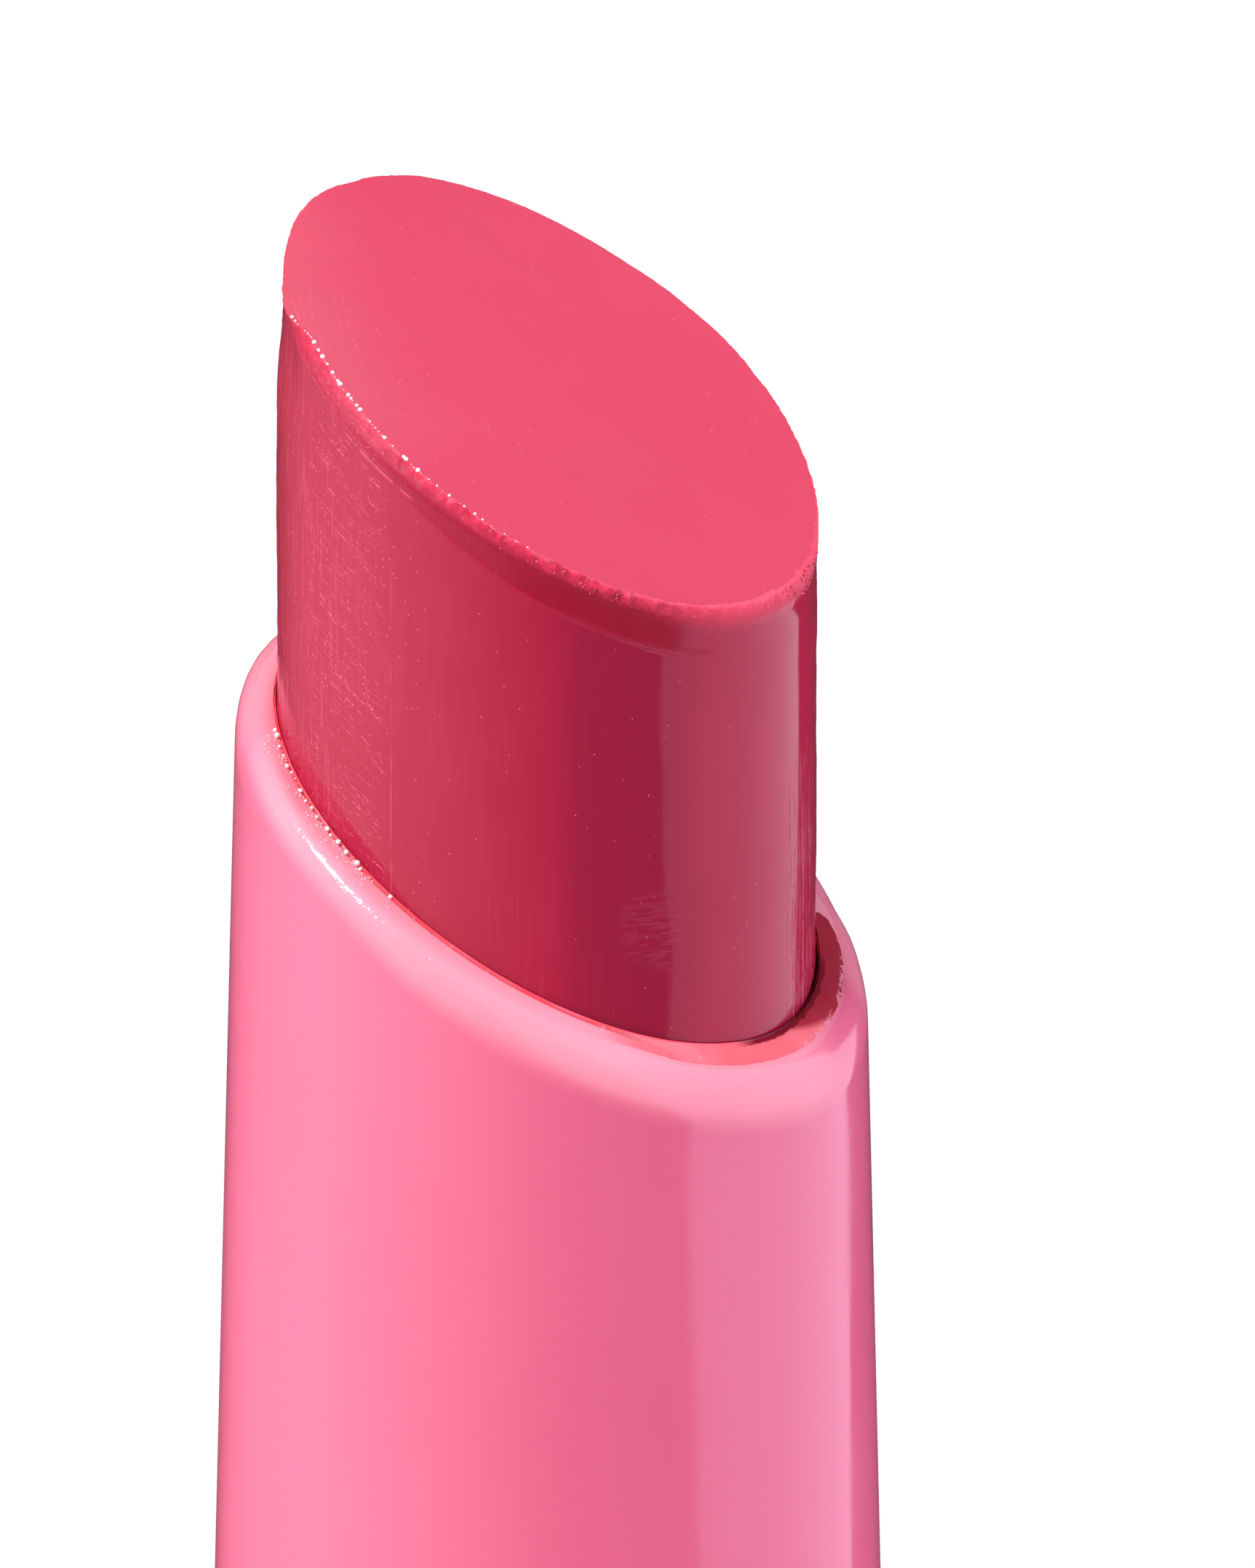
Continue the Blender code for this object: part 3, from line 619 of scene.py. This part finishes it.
def turnedSteel():
    sheet = Finish("turnedSteel")
    rings = sheet.rows(sheet.z * 14, sheet.radius * 14, 3, 0.5, "2D")
    colour = sheet.mix(sheet.between(rings, 0.3, 0.7), *driveFinish["steel"])
    dull = sheet.patches(300, 0.3, 0.7, 3, (0.26, 0.4))
    return sheet.surface(colour, dull, sheet.bump(0.25, rings), {"Metallic": 1})


shell = shellPlastic("pinkShell")
mouthShell = shellPlastic("pinkShellMouth", mouth=True)
sideGloss, cutGloss, filmGloss, seamGloss = glossSide(), glossCut(), glossFilm(), glossSeam()
glintBeadGloss, crumbGloss, paleCrumbGloss = (glossDrop(name) for name in dropFinish)
print("materials made")

# Bullet: the colour stick that the blade has cut. Its tables go by sight angle.
bullet = {
    "radius": 4.3,
    "largestRadius": 4.33,  # still clear of the bore
    "footRadius": 3.7, "footBottom": 57.44, "footTop": 61.44,
    "steps": 912,
    # depths under the cut where a zone of loops begins, and its loops
    "zones": ((0.015, 27), (1.1, 20), (6.4, 12), (8, 10)),
    # how far the blade ran off the slanted plane at the cut's edge
    "bow": ((-180, -0.1), (-170, -0.03), (-150, 0), (-60, 0), (-10, 0.05), (6, 0.13), (34, 0.18),
        (48, 0.21), (60, 0.17), (76, 0.12), (118, 0.12), (129, 0.075), (139, 0.01), (160, -0.01),
        (168, -0.06), (180, -0.1)),
    "bowDepth": 3,
    # how far the cut's edge stands out, and the depths between which that fades
    "edges": (
        (((-164, 0), (-157, -0.19), (-147, -0.22), (-140, -0.235), (-128, -0.21), (-118, -0.17),
          (-108, -0.15), (-100, -0.1), (-84, -0.05), (-70, 0)), 0, 0.26),
        (((-180, -0.11), (-166, -0.11), (-155, -0.07), (-140, -0.02), (-125, 0), (140, 0),
          (180, -0.11)), 0.6, 2.2),
        (((-178, 0), (-172, 0.06), (-166.5, 0.11), (-162, 0.05), (-158, 0)), 0.03, 0.13),
        (((-86, 0), (-68, 0.035), (20, 0.03), (60, 0.02), (140, 0)), 0.15, 0.8),
    ),
    # rounding of the edge itself, across and down
    "edgeRound": ((-180, 0.02), (-110, 0.02), (-84, 0.03), (-60, 0.04), (-25, 0.05), (10, 0.04), (60, 0.03),
        (180, 0.02)),
    "roundDepth": 0.12,
    # crumbs on the lip: size and reach
    "crumble": ((-180, 0.01), (-155, 0.018), (-130, 0.02), (-110, 0.03), (-80, 0.04), (-45, 0.022),
        (-30, 0.04), (-12, 0.055), (5, 0.03), (60, 0.01), (180, 0.01)),
    "crumbleTo": ((-180, 0.3), (-130, 0.2), (-80, 0.26), (-45, 0.2), (-12, 0.4), (60, 0.15), (180, 0.3)),
    # the blade's hollow: lower edge, depth, and where it begins and ends
    "bandLow": ((-150, 0.36), (-135, 0.4), (-121, 0.47), (-114, 0.54), (-108, 0.63), (-95, 0.71),
        (-82, 0.745), (-67, 0.81), (-55, 0.84)),
    "undercut": 0.024,
    "bandFrom": (-142, -118), "bandTo": (-72, -58),
    "wave": 0.02, "ripple": 0.0025,
    "rubbed": 0.016,  # roughness on the two sides that the bore rubs
    # narrow ridge where the mouth wipes the stick: size, reach, and where it starts and stops
    "pressed": 0.028, "pressedReach": 0.14,
    "pressedFrom": (150, 160), "pressedTo": (-112, -96),
}


def edgeAt(angle, depth):
    return sum(around(table, angle) * (1 - ramp(start, stop, depth))
               for table, start, stop in bullet["edges"])


def bulletRadius(angle, depth, spot):
    # spot is the place in the noise, in millimetres
    radius = bullet["radius"] + edgeAt(angle, depth)
    radius -= around(bullet["edgeRound"], angle) * quarterRound(1 - depth / bullet["roundDepth"])
    reach = around(bullet["crumbleTo"], angle)
    crumb = noise.noise(spot * 8) + 0.8 * noise.noise(spot * 19)
    radius += around(bullet["crumble"], angle) * crumb * (1 - ramp(0.6 * reach, reach, depth))
    if -150 < angle < -50:
        low = around(bullet["bandLow"], angle)
        hollow = ramp(0.16, 0.34, depth) * (1 - ramp(low - 0.03, low + 0.05, depth))
        hollow *= ramp(*bullet["bandFrom"], angle) * (1 - ramp(*bullet["bandTo"], angle))
        radius -= bullet["undercut"] * hollow
    wave = bullet["wave"] * noise.noise(Vector((spot.x * 0.35, spot.y * 0.35, spot.z * 0.45)))
    radius += (wave + bullet["ripple"] * noise.noise(spot * 1.3)) * ramp(0.2, 1, depth)
    sides = 1 - ramp(4, 18, min(abs(angle), 180 - abs(angle)))
    radius += bullet["rubbed"] * sides * noise.noise(spot * 11) * ramp(0.3, 1.2, depth)
    above = stick["cutHeight"] - stick["mouthHeight"] - depth
    if -0.5 < above < 0.2 and (angle < -95 or angle > 150):
        wiped = 1 - ramp(*bullet["pressedTo"], angle) + ramp(*bullet["pressedFrom"], angle)
        radius += bullet["pressed"] * (1 - ramp(0, bullet["pressedReach"], above)) * wiped
    return min(radius, bullet["largestRadius"])


def makeBullet():
    top, foot = stick["cutHeight"], bullet["footTop"]
    radius = bullet["radius"]
    outline = [(0, top, 0, 9), (radius - 0.1, top, 0, 2), (radius, top, 0, 0)]
    outline += [(radius, top - depth, 0, loops) for depth, loops in bullet["zones"]]
    outline += [
        (radius, foot, 0, 0),
        (bullet["footRadius"], foot, 0, 2),
        (bullet["footRadius"], bullet["footBottom"], 0.15, 4),
        (0, bullet["footBottom"], 0, 0),
    ]
    bm = lathe(outline, bullet["steps"], closed=False)
    for face in bm.faces:
        face.material_index = int(all(vert.co.z > (top - 0.001) * mm for vert in face.verts))
    for vert in bm.verts:
        x, y, z = vert.co / mm
        flat = Vector((x, y)).length
        if z > foot + 0.01 and flat > 0.01:
            stretch = bulletRadius(sightAngle(x, y), top - z, vert.co / mm) / radius
            x, y = x * stretch, y * stretch
            bow = around(bullet["bow"], sightAngle(x, y)) * (flat / radius) ** 2
            z += bow * (1 - ramp(0, bullet["bowDepth"], top - z))
        # the slant fades out on the way down, so that the foot is straight
        z -= slope * x * ramp(foot + 0.2, foot + 8, z)
        vert.co = Vector((x, y, z)) * mm
    piece = finishPiece(bm, "glossBullet", "bullet_lift", (sideGloss, cutGloss))
    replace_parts(piece, "bullet")


# Nozzle: tapered sleeve with the slanted mouth
nozzle = {
    "taperDegrees": 1.29, "flatRadius": 4.62,
    "roundAcross": 0.46, "roundDown": 0.65, "innerRound": 0.02,
    # share of the larger rounding behind, by sight angle
    "softer": ((-180, 1), (-172, 0.9), (-140, 0), (14, 0), (22, 0.4), (60, 0.45), (110, 1), (180, 1)),
    "softerBy": (0.22, 0.35, -0.035),  # across, down, and outwards at the edge
    "skirtRadius": 4.98, "skirtBottom": 63.24, "skirtRound": 0.05,
    "shoulder": 66.84,
    "steps": 264,
}


def rimShape(angle):
    # where the rim's flat ends, and how wide and deep it rounds
    share = around(nozzle["softer"], angle)
    moreAcross, moreDown, outwards = (share * more for more in nozzle["softerBy"])
    flat = nozzle["flatRadius"] + outwards - moreAcross
    return flat, nozzle["roundAcross"] + moreAcross, nozzle["roundDown"] + moreDown


def rimDrop(radius, angle):
    # how far the mouth's rounded rim has fallen at this radius
    flat, across, down = rimShape(angle)
    return down * quarterRound((radius - flat) / across)


def makeNozzle():
    mouth, bore = stick["mouthHeight"], stick["boreRadius"]
    across, down = nozzle["roundAcross"], nozzle["roundDown"]
    shoulder, skirtRound = nozzle["shoulder"], nozzle["skirtRound"]
    taper = tan(radians(nozzle["taperDegrees"]))
    edge = nozzle["flatRadius"] + across
    length = mouth - shoulder
    outline = [
        (bore, mouth, nozzle["innerRound"], 0),
        (edge, mouth, across, 0),
        (edge, mouth - down - 0.001, 0, 10),
        (edge + taper * length, shoulder, skirtRound, 0),
        (nozzle["skirtRadius"], shoulder, 0, 0),
        (nozzle["skirtRadius"], nozzle["skirtBottom"], skirtRound, 0),
        (bore, nozzle["skirtBottom"], skirtRound, 10),
        (bore, mouth - down - 0.001, 0, 0),
    ]
    bm = lathe(outline, nozzle["steps"], stretch=down / across)
    for vert in bm.verts:
        radius, height = vert.co.xy.length / mm, vert.co.z / mm
        if radius > bore + nozzle["innerRound"] + 0.001 and height > shoulder + 0.06:
            flat, widened, deepened = rimShape(sightAngle(vert.co.x, vert.co.y))
            share = (radius - nozzle["flatRadius"]) / across
            if height < mouth - down:  # the wall takes up the change on its way down
                fall = (mouth - down - height) / (length - down)
                height -= (deepened - down) * (1 - fall)
                new = radius + (flat + widened - edge) * (1 - fall)
            elif share > 0:  # the rounding
                height = mouth - deepened * (mouth - height) / down
                new = flat + widened * share
            else:  # the flat
                new = bore + (radius - bore) * (flat - bore) / (nozzle["flatRadius"] - bore)
            vert.co = vert.co * new / radius
            vert.co.z = height * mm
        # all but the skirt leans with the slant, and the taper follows the leaning height
        flat = vert.co.xy.length
        lean = min(1, max(0, (vert.co.z / mm - shoulder) / (length - down)))
        if flat > (bore + 0.1) * mm:
            vert.co.xy *= 1 + taper * slope * lean * vert.co.x / flat
        vert.co.z -= slope * vert.co.x * lean
    piece = finishPiece(bm, "nozzleShell", "front", (mouthShell,))
    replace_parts(piece, "nozzle")


# Gloss that the bullet has left on the mouth: a film on the low side and a seam all round
film = {
    "inner": 4.36, "outer": 4.745, "thick": 0.03,
    "from": -92, "to": 14.5,
    # share of its width that the film has, by sight angle
    "reach": ((-92, 0.4), (-74, 0.75), (-60, 0.96), (-40, 1), (0, 1), (6, 0.96), (10, 0.86), (13, 0.7),
        (14.5, 0.45)),
    "ragged": ((0.016, 7), (0.01, 19)),  # size and scale
    "steps": 216,
}
seam = {
    "inner": 4.335, "width": 0.1,
    "outer": ((-180, 4.35), (-166, 4.36), (-158, 4.41), (-110, 4.42), (-60, 4.4), (-44, 4.36), (12, 4.36),
        (40, 4.38), (150, 4.38), (165, 4.35)),
    "rise": 0.035,
    "sunk": 0.02,  # lower in the crevice at the right
    "ragged": ((0.022, 6), (0.012, 17)),
    "steps": 480,
}


def makeFilm():
    inner, outer, thick = film["inner"], film["outer"], film["thick"]
    mouth = stick["mouthHeight"]
    outline = [
        (inner, mouth - 0.15, 0, 2),
        (inner, mouth + thick, 0.015, 18),
        (outer, mouth + thick, 0.025, 2),
        (outer, mouth - 0.1, 0, 8),
    ]
    bm = lathe(outline, film["steps"], turn=radians(film["to"] - film["from"]))
    start = Matrix.Rotation(turnTo(film["from"]), 3, "Z")
    bmesh.ops.rotate(bm, verts=bm.verts, cent=(0, 0, 0), matrix=start)
    bmesh.ops.holes_fill(bm, edges=[edge for edge in bm.edges if edge.is_boundary])
    for vert in bm.verts:
        x, y, z = vert.co / mm
        angle = sightAngle(x, y)
        reach = around(film["reach"], angle)
        share = (Vector((x, y)).length - inner) / (outer - inner)
        new = inner + (outer - inner) * share * reach + smearEdge(x, y, film["ragged"]) * share
        if z > mouth:
            lumps = 0.8 + 0.3 * noise.noise(Vector((x, y, 1)) * 4)
            z = mouth + (z - mouth) * min(1, reach + 0.1) * lumps
        leanOut(vert, new, z - rimDrop(new, angle))
    finishPiece(bm, "glossFilm", "front", (filmGloss,))


def makeSeam():
    inner, width, mouth = seam["inner"], seam["width"], stick["mouthHeight"]
    outline = [
        (inner, mouth - 0.4, 0, 4),
        (inner, mouth + seam["rise"], 0.02, 6),
        (inner + width, mouth - 0.02, 0, 0),
        (inner + width, mouth - 0.4, 0, 0),
    ]
    bm = lathe(outline, seam["steps"])
    for vert in bm.verts:
        x, y, z = vert.co / mm
        angle = sightAngle(x, y)
        outer = around(seam["outer"], angle) + smearEdge(x, y, seam["ragged"])
        share = (Vector((x, y)).length - inner) / width
        crevice = ramp(-50, -36, angle) * (1 - ramp(10, 30, angle))
        leanOut(vert, inner + share * max(0.004, outer - inner), z - seam["sunk"] * crevice)
    finishPiece(bm, "glossSeam", "front", (seamGloss,))


# Droplets along the cut's edge and the mouth, coloured near white as painted glints, and crumbs of gloss
beads = {
    # (sight angle, diameter)
    "cut": ((-163, 0.06), (-162, 0.04), (-156.5, 0.075), (-154.2, 0.055), (-152.3, 0.078), (-150, 0.045),
        (-147.6, 0.066), (-145.2, 0.055), (-144.3, 0.085), (-141.2, 0.068), (-140.2, 0.05), (-138.2, 0.06),
        (-137, 0.075), (-133.6, 0.036), (-131.8, 0.032), (-129, 0.064), (-126.6, 0.032), (-123.5, 0.06),
        (-122.8, 0.074), (-119.6, 0.078), (-116.8, 0.034), (-114.8, 0.04), (-111.8, 0.05), (-108.3, 0.038),
        (-105.8, 0.052), (-104, 0.036), (-99, 0.03), (-94, 0.034)),
    # (sight angle, distance from the bore, diameter)
    "mouth": ((-168.5, 0.06, 0.078), (-167, 0.05, 0.098), (-164, 0.07, 0.058), (-161.5, 0.06, 0.058),
        (-158.5, 0.08, 0.078), (-157, 0.05, 0.055), (-152, 0.07, 0.078), (-149.4, 0.09, 0.058),
        (-147.6, 0.06, 0.065), (-145.2, 0.09, 0.058), (-142, 0.06, 0.088), (-140.6, 0.08, 0.058),
        (-138.6, 0.05, 0.094), (-136, 0.06, 0.088), (-133, 0.05, 0.104), (-131.8, 0.07, 0.065),
        (-124.2, 0.05, 0.078)),
    # specks: count, sight angles, and for those on the mouth their reach
    "cutDust": (70, -162, -96),
    "mouthDust": (120, -167, -128, 0.4),
    "rimDust": (26, -150, -40, 0.9),
    "dustSize": (0.014, 0.028),
    "mouthDustSize": (0.016, 0.032),
    "inset": 0.02,  # how deep a droplet sits in the cut's edge
    "smallest": 0.034,  # rounder from this diameter on
    "seed": 4,
}
crumbs = {
    # counts, sight angles (from, to, most), sizes
    "lip": ((100, -112, -50, -84, 0.012, 0.036), (110, -32, -4, -17, 0.024, 0.062),
        (30, -60, -25, -40, 0.014, 0.03)),
    "film": (90, -26, 12, -10, 0.014, 0.036),
    "filmBand": (-0.07, 0.02),  # across the film's edge
    "lumps": 23,
    "seed": 9,
}


def sprinkle(name, body, material, drops, rounds=2, lumpy=0):
    bm = bmesh.new()
    for place, size in drops:
        detail = rounds if size > beads["smallest"] else 1
        at = Matrix.Translation(place)
        made = bmesh.ops.create_icosphere(bm, subdivisions=detail, radius=size * mm / 2, matrix=at)
        for vert in made["verts"]:
            push = lumpy * size * mm * noise.noise(vert.co / mm * crumbs["lumps"])
            vert.co += (vert.co - place).normalized() * push
    finishPiece(bm, name, body, (material,), 180 if lumpy == 0 else 50)


def onEdge(angle, height):
    return onStick(angle, bullet["radius"] + edgeAt(angle, 0) - beads["inset"], height)


def makeBeads():
    pick = Random(beads["seed"])
    cut, bore, mouth = stick["cutHeight"], stick["boreRadius"], stick["mouthHeight"]
    onCut = [(onEdge(angle, cut), size) for angle, size in beads["cut"]]
    count, start, stop = beads["cutDust"]
    for i in range(count):
        angle = pick.uniform(start, stop)
        place = onEdge(angle, cut - pick.uniform(0, 0.02))
        onCut.append((place, pick.uniform(*beads["dustSize"])))
    sprinkle("edgeBeads", "bullet_lift", glintBeadGloss, onCut)

    onMouth = [(onStick(angle, bore + out, mouth + size * 0.4), size) for angle, out, size in beads["mouth"]]
    for count, start, stop, reach in (beads["mouthDust"], beads["rimDust"]):
        for i in range(count):
            size = pick.uniform(*beads["mouthDustSize"])
            radius = bore + (0.03 + reach * pick.random() * pick.random())
            angle = pick.uniform(start, stop)
            onMouth.append((onStick(angle, radius, mouth + size * 0.35 - rimDrop(radius, angle)), size))
    sprinkle("mouthBeads", "front", glintBeadGloss, onMouth)


def makeCrumbs():
    pick = Random(crumbs["seed"])
    spot = Vector((9, 9, 9))  # one place in the noise for all of them
    onLip = []
    for count, start, stop, most, small, large in crumbs["lip"]:
        for i in range(count):
            angle = pick.triangular(start, stop, most)
            size = pick.uniform(small, large)
            depth = pick.uniform(0.03, around(bullet["crumbleTo"], angle))
            radius = min(bulletRadius(angle, depth, spot), bullet["largestRadius"] - size * 0.3)
            onLip.append((onStick(angle, radius, stick["cutHeight"] - depth), size))
    sprinkle("lipCrumbs", "bullet_lift", crumbGloss, onLip, rounds=1, lumpy=0.5)

    count, start, stop, most, small, large = crumbs["film"]
    onFilm = []
    for i in range(count):
        size = pick.uniform(small, large)
        radius = film["outer"] + pick.uniform(*crumbs["filmBand"])
        angle = pick.triangular(start, stop, most)
        height = stick["mouthHeight"] - rimDrop(radius, angle) + size * 0.3
        onFilm.append((onStick(angle, radius, height), size))
    sprinkle("filmCrumbs", "front", paleCrumbGloss, onFilm, rounds=1, lumpy=0.6)


makeBullet()
makeNozzle()
makeFilm()
makeSeam()
makeBeads()
makeCrumbs()
print("bullet, nozzle and gloss made")

# Collar, barrel and end plug, all turned
collar = {
    "bore": 5.03, "radius": 5.88, "bottom": 59.74, "top": 66.74, "topRound": 0.25, "edge": 0.06,
    "bead": 0.13, "beadHalf": 0.45, "beadHeight": 64.08, "beadRound": 0.12, "beadFoot": 0.1,
}
barrel = {"bore": 5.83, "radius": 6.57, "bottom": 1.5, "top": 59.59, "topRound": 0.25, "edge": 0.08}
plug = {
    "radius": 6.57, "flangeTop": 1.4, "top": 4.4, "spigot": 5.78, "hollow": 4.88, "edge": 0.08,
    "footRound": 0.5, "recess": 4.07, "recessDepth": 0.25, "gate": 0.55, "gateRise": 0.08,
}


def makeShell(name, body, outline, node, closed=True):
    bm = lathe(outline, turning["sideSteps"], closed=closed)
    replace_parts(finishPiece(bm, name, body, (shell,)), node)


def makeCollar():
    radius, edge, foot = collar["radius"], collar["edge"], collar["beadFoot"]
    bead, half, crest = collar["beadHeight"], collar["beadHalf"], collar["beadRound"]
    makeShell("collarShell", "front", [
        (collar["bore"], collar["top"], 0.05, 0),
        (radius, collar["top"], collar["topRound"], 6),
        (radius, bead + half, foot, 0),
        (radius + collar["bead"], bead + half * 0.35, crest, 0),
        (radius + collar["bead"], bead - half * 0.35, crest, 0),
        (radius, bead - half, foot, 8),
        (radius, collar["bottom"], edge, 0),
        (collar["bore"], collar["bottom"], edge, 0),
    ], "collar")


def makeBarrel():
    makeShell("barrelShell", "twist_base", [
        (barrel["bore"], barrel["top"], barrel["edge"], 0),
        (barrel["radius"], barrel["top"], barrel["topRound"], 30),
        (barrel["radius"], barrel["bottom"], barrel["edge"], 0),
        (barrel["bore"], barrel["bottom"], 0.05, 10),
    ], "barrel")


def makePlug():
    flange, edge, depth = plug["flangeTop"], plug["edge"], plug["recessDepth"]
    makeShell("plugShell", "twist_base", [
        (0, flange, 0, 4),
        (plug["hollow"], flange, 0.1, 2),
        (plug["hollow"], plug["top"], 0.1, 0),
        (plug["spigot"], plug["top"], 0.15, 2),
        (plug["spigot"], flange, 0, 0),
        (plug["radius"], flange, edge, 2),
        (plug["radius"], 0, plug["footRound"], 4),
        (plug["recess"], 0, edge, 0),
        (plug["recess"], depth, edge, 6),
        (plug["gate"], depth, 0.03, 0),
        (plug["gate"], depth - plug["gateRise"], 0.03, 2),
        (0, depth - plug["gateRise"], 0, 0),
    ], "end_plug", closed=False)


makeCollar()
makeBarrel()
makePlug()
print("outer shells made")

# Drive pieces keep their CAD shape and take their finish here
drivePieces = (
    (naturalPlastic(), ("guide_sleeve", "bullet_cup", "carrier_stem", "drive_nut", "barrel_liner",
        "spindle", "spindle_seat")),
    (greasedRubber(), ("lower_o_ring", "upper_o_ring")),
    (turnedSteel(), ("balance_weight",)),
)
for material, names in drivePieces:
    for name in names:
        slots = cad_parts[name].data.materials
        slots.clear()
        slots.append(material)
print("drive finished")

# Studio: pale floor, soft light, and low cards that the glossy walls mirror
upright = ((0, 0), (1, 0))  # edge of a card that stands straight up
studio = {
    "floorSize": 8,
    "floorShade": shade(244, 243, 242),
    "floorGlow": 0.5,  # what the far floor gives back to matt surfaces
    "floorFade": (40, 180),  # millimetres between which the floor turns to glow
    "ambient": 0.1,
    # lit cards: name, radius, tint, (sight angle, strength), (sight angle, top edge),
    # and (height, turn) of the left and right edge
    "litCards": (
        ("leftCard", 0.2, (1, 1, 1),
         ((-262, 0.05), (-250, 0.07), (-240, 0.14), (-225, 0.42), (-205, 1.05), (-176, 2.2), (-140, 1.8),
          (-112, 1), (-95, 0.5), (-78, 0.2)),
         ((-262, 0.25), (-78, 0.25)), upright, upright),
        ("rightCard", 0.2, (0.94, 0.97, 1.16),
         ((-41, 1.6), (14, 1.95), (47, 1.6)),
         ((-41, 0.32), (22, 0.32), (33, 0.125), (47, 0.095)), ((0.019, 5.5), (0.034, 0)),
         ((0.013, -7), (0.028, 0))),
    ),
    # dark cards: name, radius, strength, top edge, sight angles, whether matt surfaces see it
    "darkCards": (
        ("frontCard", 0.21, 0.2, 0.065, -78, -30, True),
        ("backCard", 0.21, 0.04, 0.2, 20, 98, False),
    ),
    # lamps: name, direction from the tip, distance, width and depth, watts, whether it is mirrored
    "lamps": (
        ("keyLamp", (-0.03, -0.405, 0.914), 0.4, (0.08, 0.042), 1.23, True),
        ("topSoftbox", (-0.1, -0.3, 0.95), 0.42, (0.36, 0.36), 0.22, True),
        ("sideLamp", (0.73, 0.68, 0), 0.17, (0.1, 0.1), 0.022, False),
    ),
}


def dimmed(sheet, kind, strength):
    # white at this strength, and at full strength where the camera, glossy and clear surfaces see it
    path = sheet.node("LightPath")
    seen = path.output("Is Camera Ray") | path.output("Is Glossy Ray") | path.output("Is Transmission Ray")
    dim, full = (sheet.node(kind, {}, {"Color": (1, 1, 1, 1), "Strength": s}) for s in (strength, 1))
    return sheet.node("MixShader", {}, {0: seen, 1: dim, 2: full})


def makeFloor():
    sheet = Finish("paleFloor")
    pale = sheet.node("BsdfDiffuse", {}, {"Color": studio["floorShade"]})
    far = dimmed(sheet, "Emission", studio["floorGlow"])
    away = sheet.between(sheet.radius, *studio["floorFade"])
    owner = sheet.close("OutputMaterial", sheet.node("MixShader", {}, {0: away, 1: pale, 2: far}))
    bm = bmesh.new()
    bmesh.ops.create_grid(bm, x_segments=1, y_segments=1, size=studio["floorSize"] / 2)
    meshObject("floor", bm, (owner,))


def makeCard(name, radius, start, stop, tops, leftEdge, rightEdge, glow):
    # glow takes the card's sheet and gives its light
    sheet = Sheet(bpy.data.materials.new(name))
    owner = sheet.close("OutputMaterial", glow(sheet))
    bm = bmesh.new()
    bmesh.ops.create_grid(bm, x_segments=64, y_segments=40, size=0.5)
    for vert in bm.verts:
        share, rise = vert.co.x + 0.5, vert.co.y + 0.5
        angle = start + (stop - start) * share
        height = around(tops, angle) * rise
        angle += around(leftEdge, height) * (1 - share) ** 2 + around(rightEdge, height) * share ** 2
        turn = turnTo(angle)
        vert.co = (radius * cos(turn), radius * sin(turn), height)
    made = meshObject(name, bm, (owner,))
    made.visible_camera = False
    return made


def makeLitCard(name, radius, tint, levels, tops, leftEdge, rightEdge):
    start, stop = levels[0][0], levels[-1][0]
    peak = max(strength for angle, strength in levels)

    def glow(sheet):
        # the strength runs from the card's left edge to its right
        turned = sheet.node("VectorRotate", {"rotation_type": "Z_AXIS"},
                            {"Vector": sheet.node("TexCoord", out=3), "Angle": -turnTo((start + stop) / 2)})
        split = sheet.node("SeparateXYZ", {}, {0: turned})
        share = split.maths("ARCTAN2", split.output(1), split) / radians(stop - start) + 0.5
        stops = [((angle - start) / (stop - start), (*(strength / peak * part for part in tint), 1))
                 for angle, strength in levels]
        return sheet.glow(peak, sheet.node("ValToRGB", {"stops": stops}, {0: share}))

    makeCard(name, radius, start, stop, tops, leftEdge, rightEdge, glow)


def makeDarkCard(name, radius, strength, high, start, stop, seenByMatt):
    tops = ((start, high), (stop, high))
    card = makeCard(name, radius, start, stop, tops, upright, upright, lambda sheet: sheet.glow(strength))
    card.visible_diffuse = seenByMatt
    card.visible_shadow = False


def placeTurned(name, data, place, turned):
    made = bpy.data.objects.new(name, data)
    made.location = place
    made.rotation_mode = "QUATERNION"
    made.rotation_quaternion = turned
    scene.collection.objects.link(made)
    return made


def makeLamp(name, direction, distance, size, power, mirrored):
    lamp = bpy.data.lights.new(name, "AREA")
    lamp.shape, lamp.size, lamp.size_y, lamp.energy = "RECTANGLE", *size, power
    toLamp = Vector(direction).normalized()
    across = Vector((0, 0, 1)).cross(toLamp).normalized()  # its width lies level
    turned = Matrix((across, toLamp.cross(across), toLamp)).transposed().to_quaternion()
    made = placeTurned(name, lamp, tip + toLamp * distance, turned)
    made.visible_camera = False
    made.visible_glossy = mirrored


def makeWorld():
    world = bpy.data.worlds.new("studioWorld")
    scene.world = world
    sheet = Sheet(world)
    sheet.close("OutputWorld", dimmed(sheet, "Background", studio["ambient"]))


makeFloor()
makeWorld()
for card in studio["litCards"]:
    makeLitCard(*card)
for card in studio["darkCards"]:
    makeDarkCard(*card)
for lamp in studio["lamps"]:
    makeLamp(*lamp)
print("studio made")

# Camera: a long lens on the photograph's side
view = {
    "elevation": 15,
    "lens": 700, "sensor": 36, "distance": 0.4875,
    "clip": (0.01, 10),
    "right": 1.285,  # the mouth's middle lies this far left of and below the frame's middle
    "up": 0.698,
}


def makeCamera():
    camera = bpy.data.cameras.new("camera")
    camera.lens, camera.sensor_width = view["lens"], view["sensor"]
    camera.clip_start, camera.clip_end = view["clip"]
    turn, rise = radians(stick["sightDegrees"]), radians(view["elevation"])
    back = Vector((sin(turn) * cos(rise), -cos(turn) * cos(rise), sin(rise)))
    right = Vector((cos(turn), sin(turn), 0))
    aim = tip + (right * view["right"] + back.cross(right) * view["up"]) * mm
    made = placeTurned("camera", camera, aim + back * view["distance"], back.to_track_quat("Z", "Y"))
    scene.camera = made


makeCamera()
scene.view_settings.view_transform = "Standard"
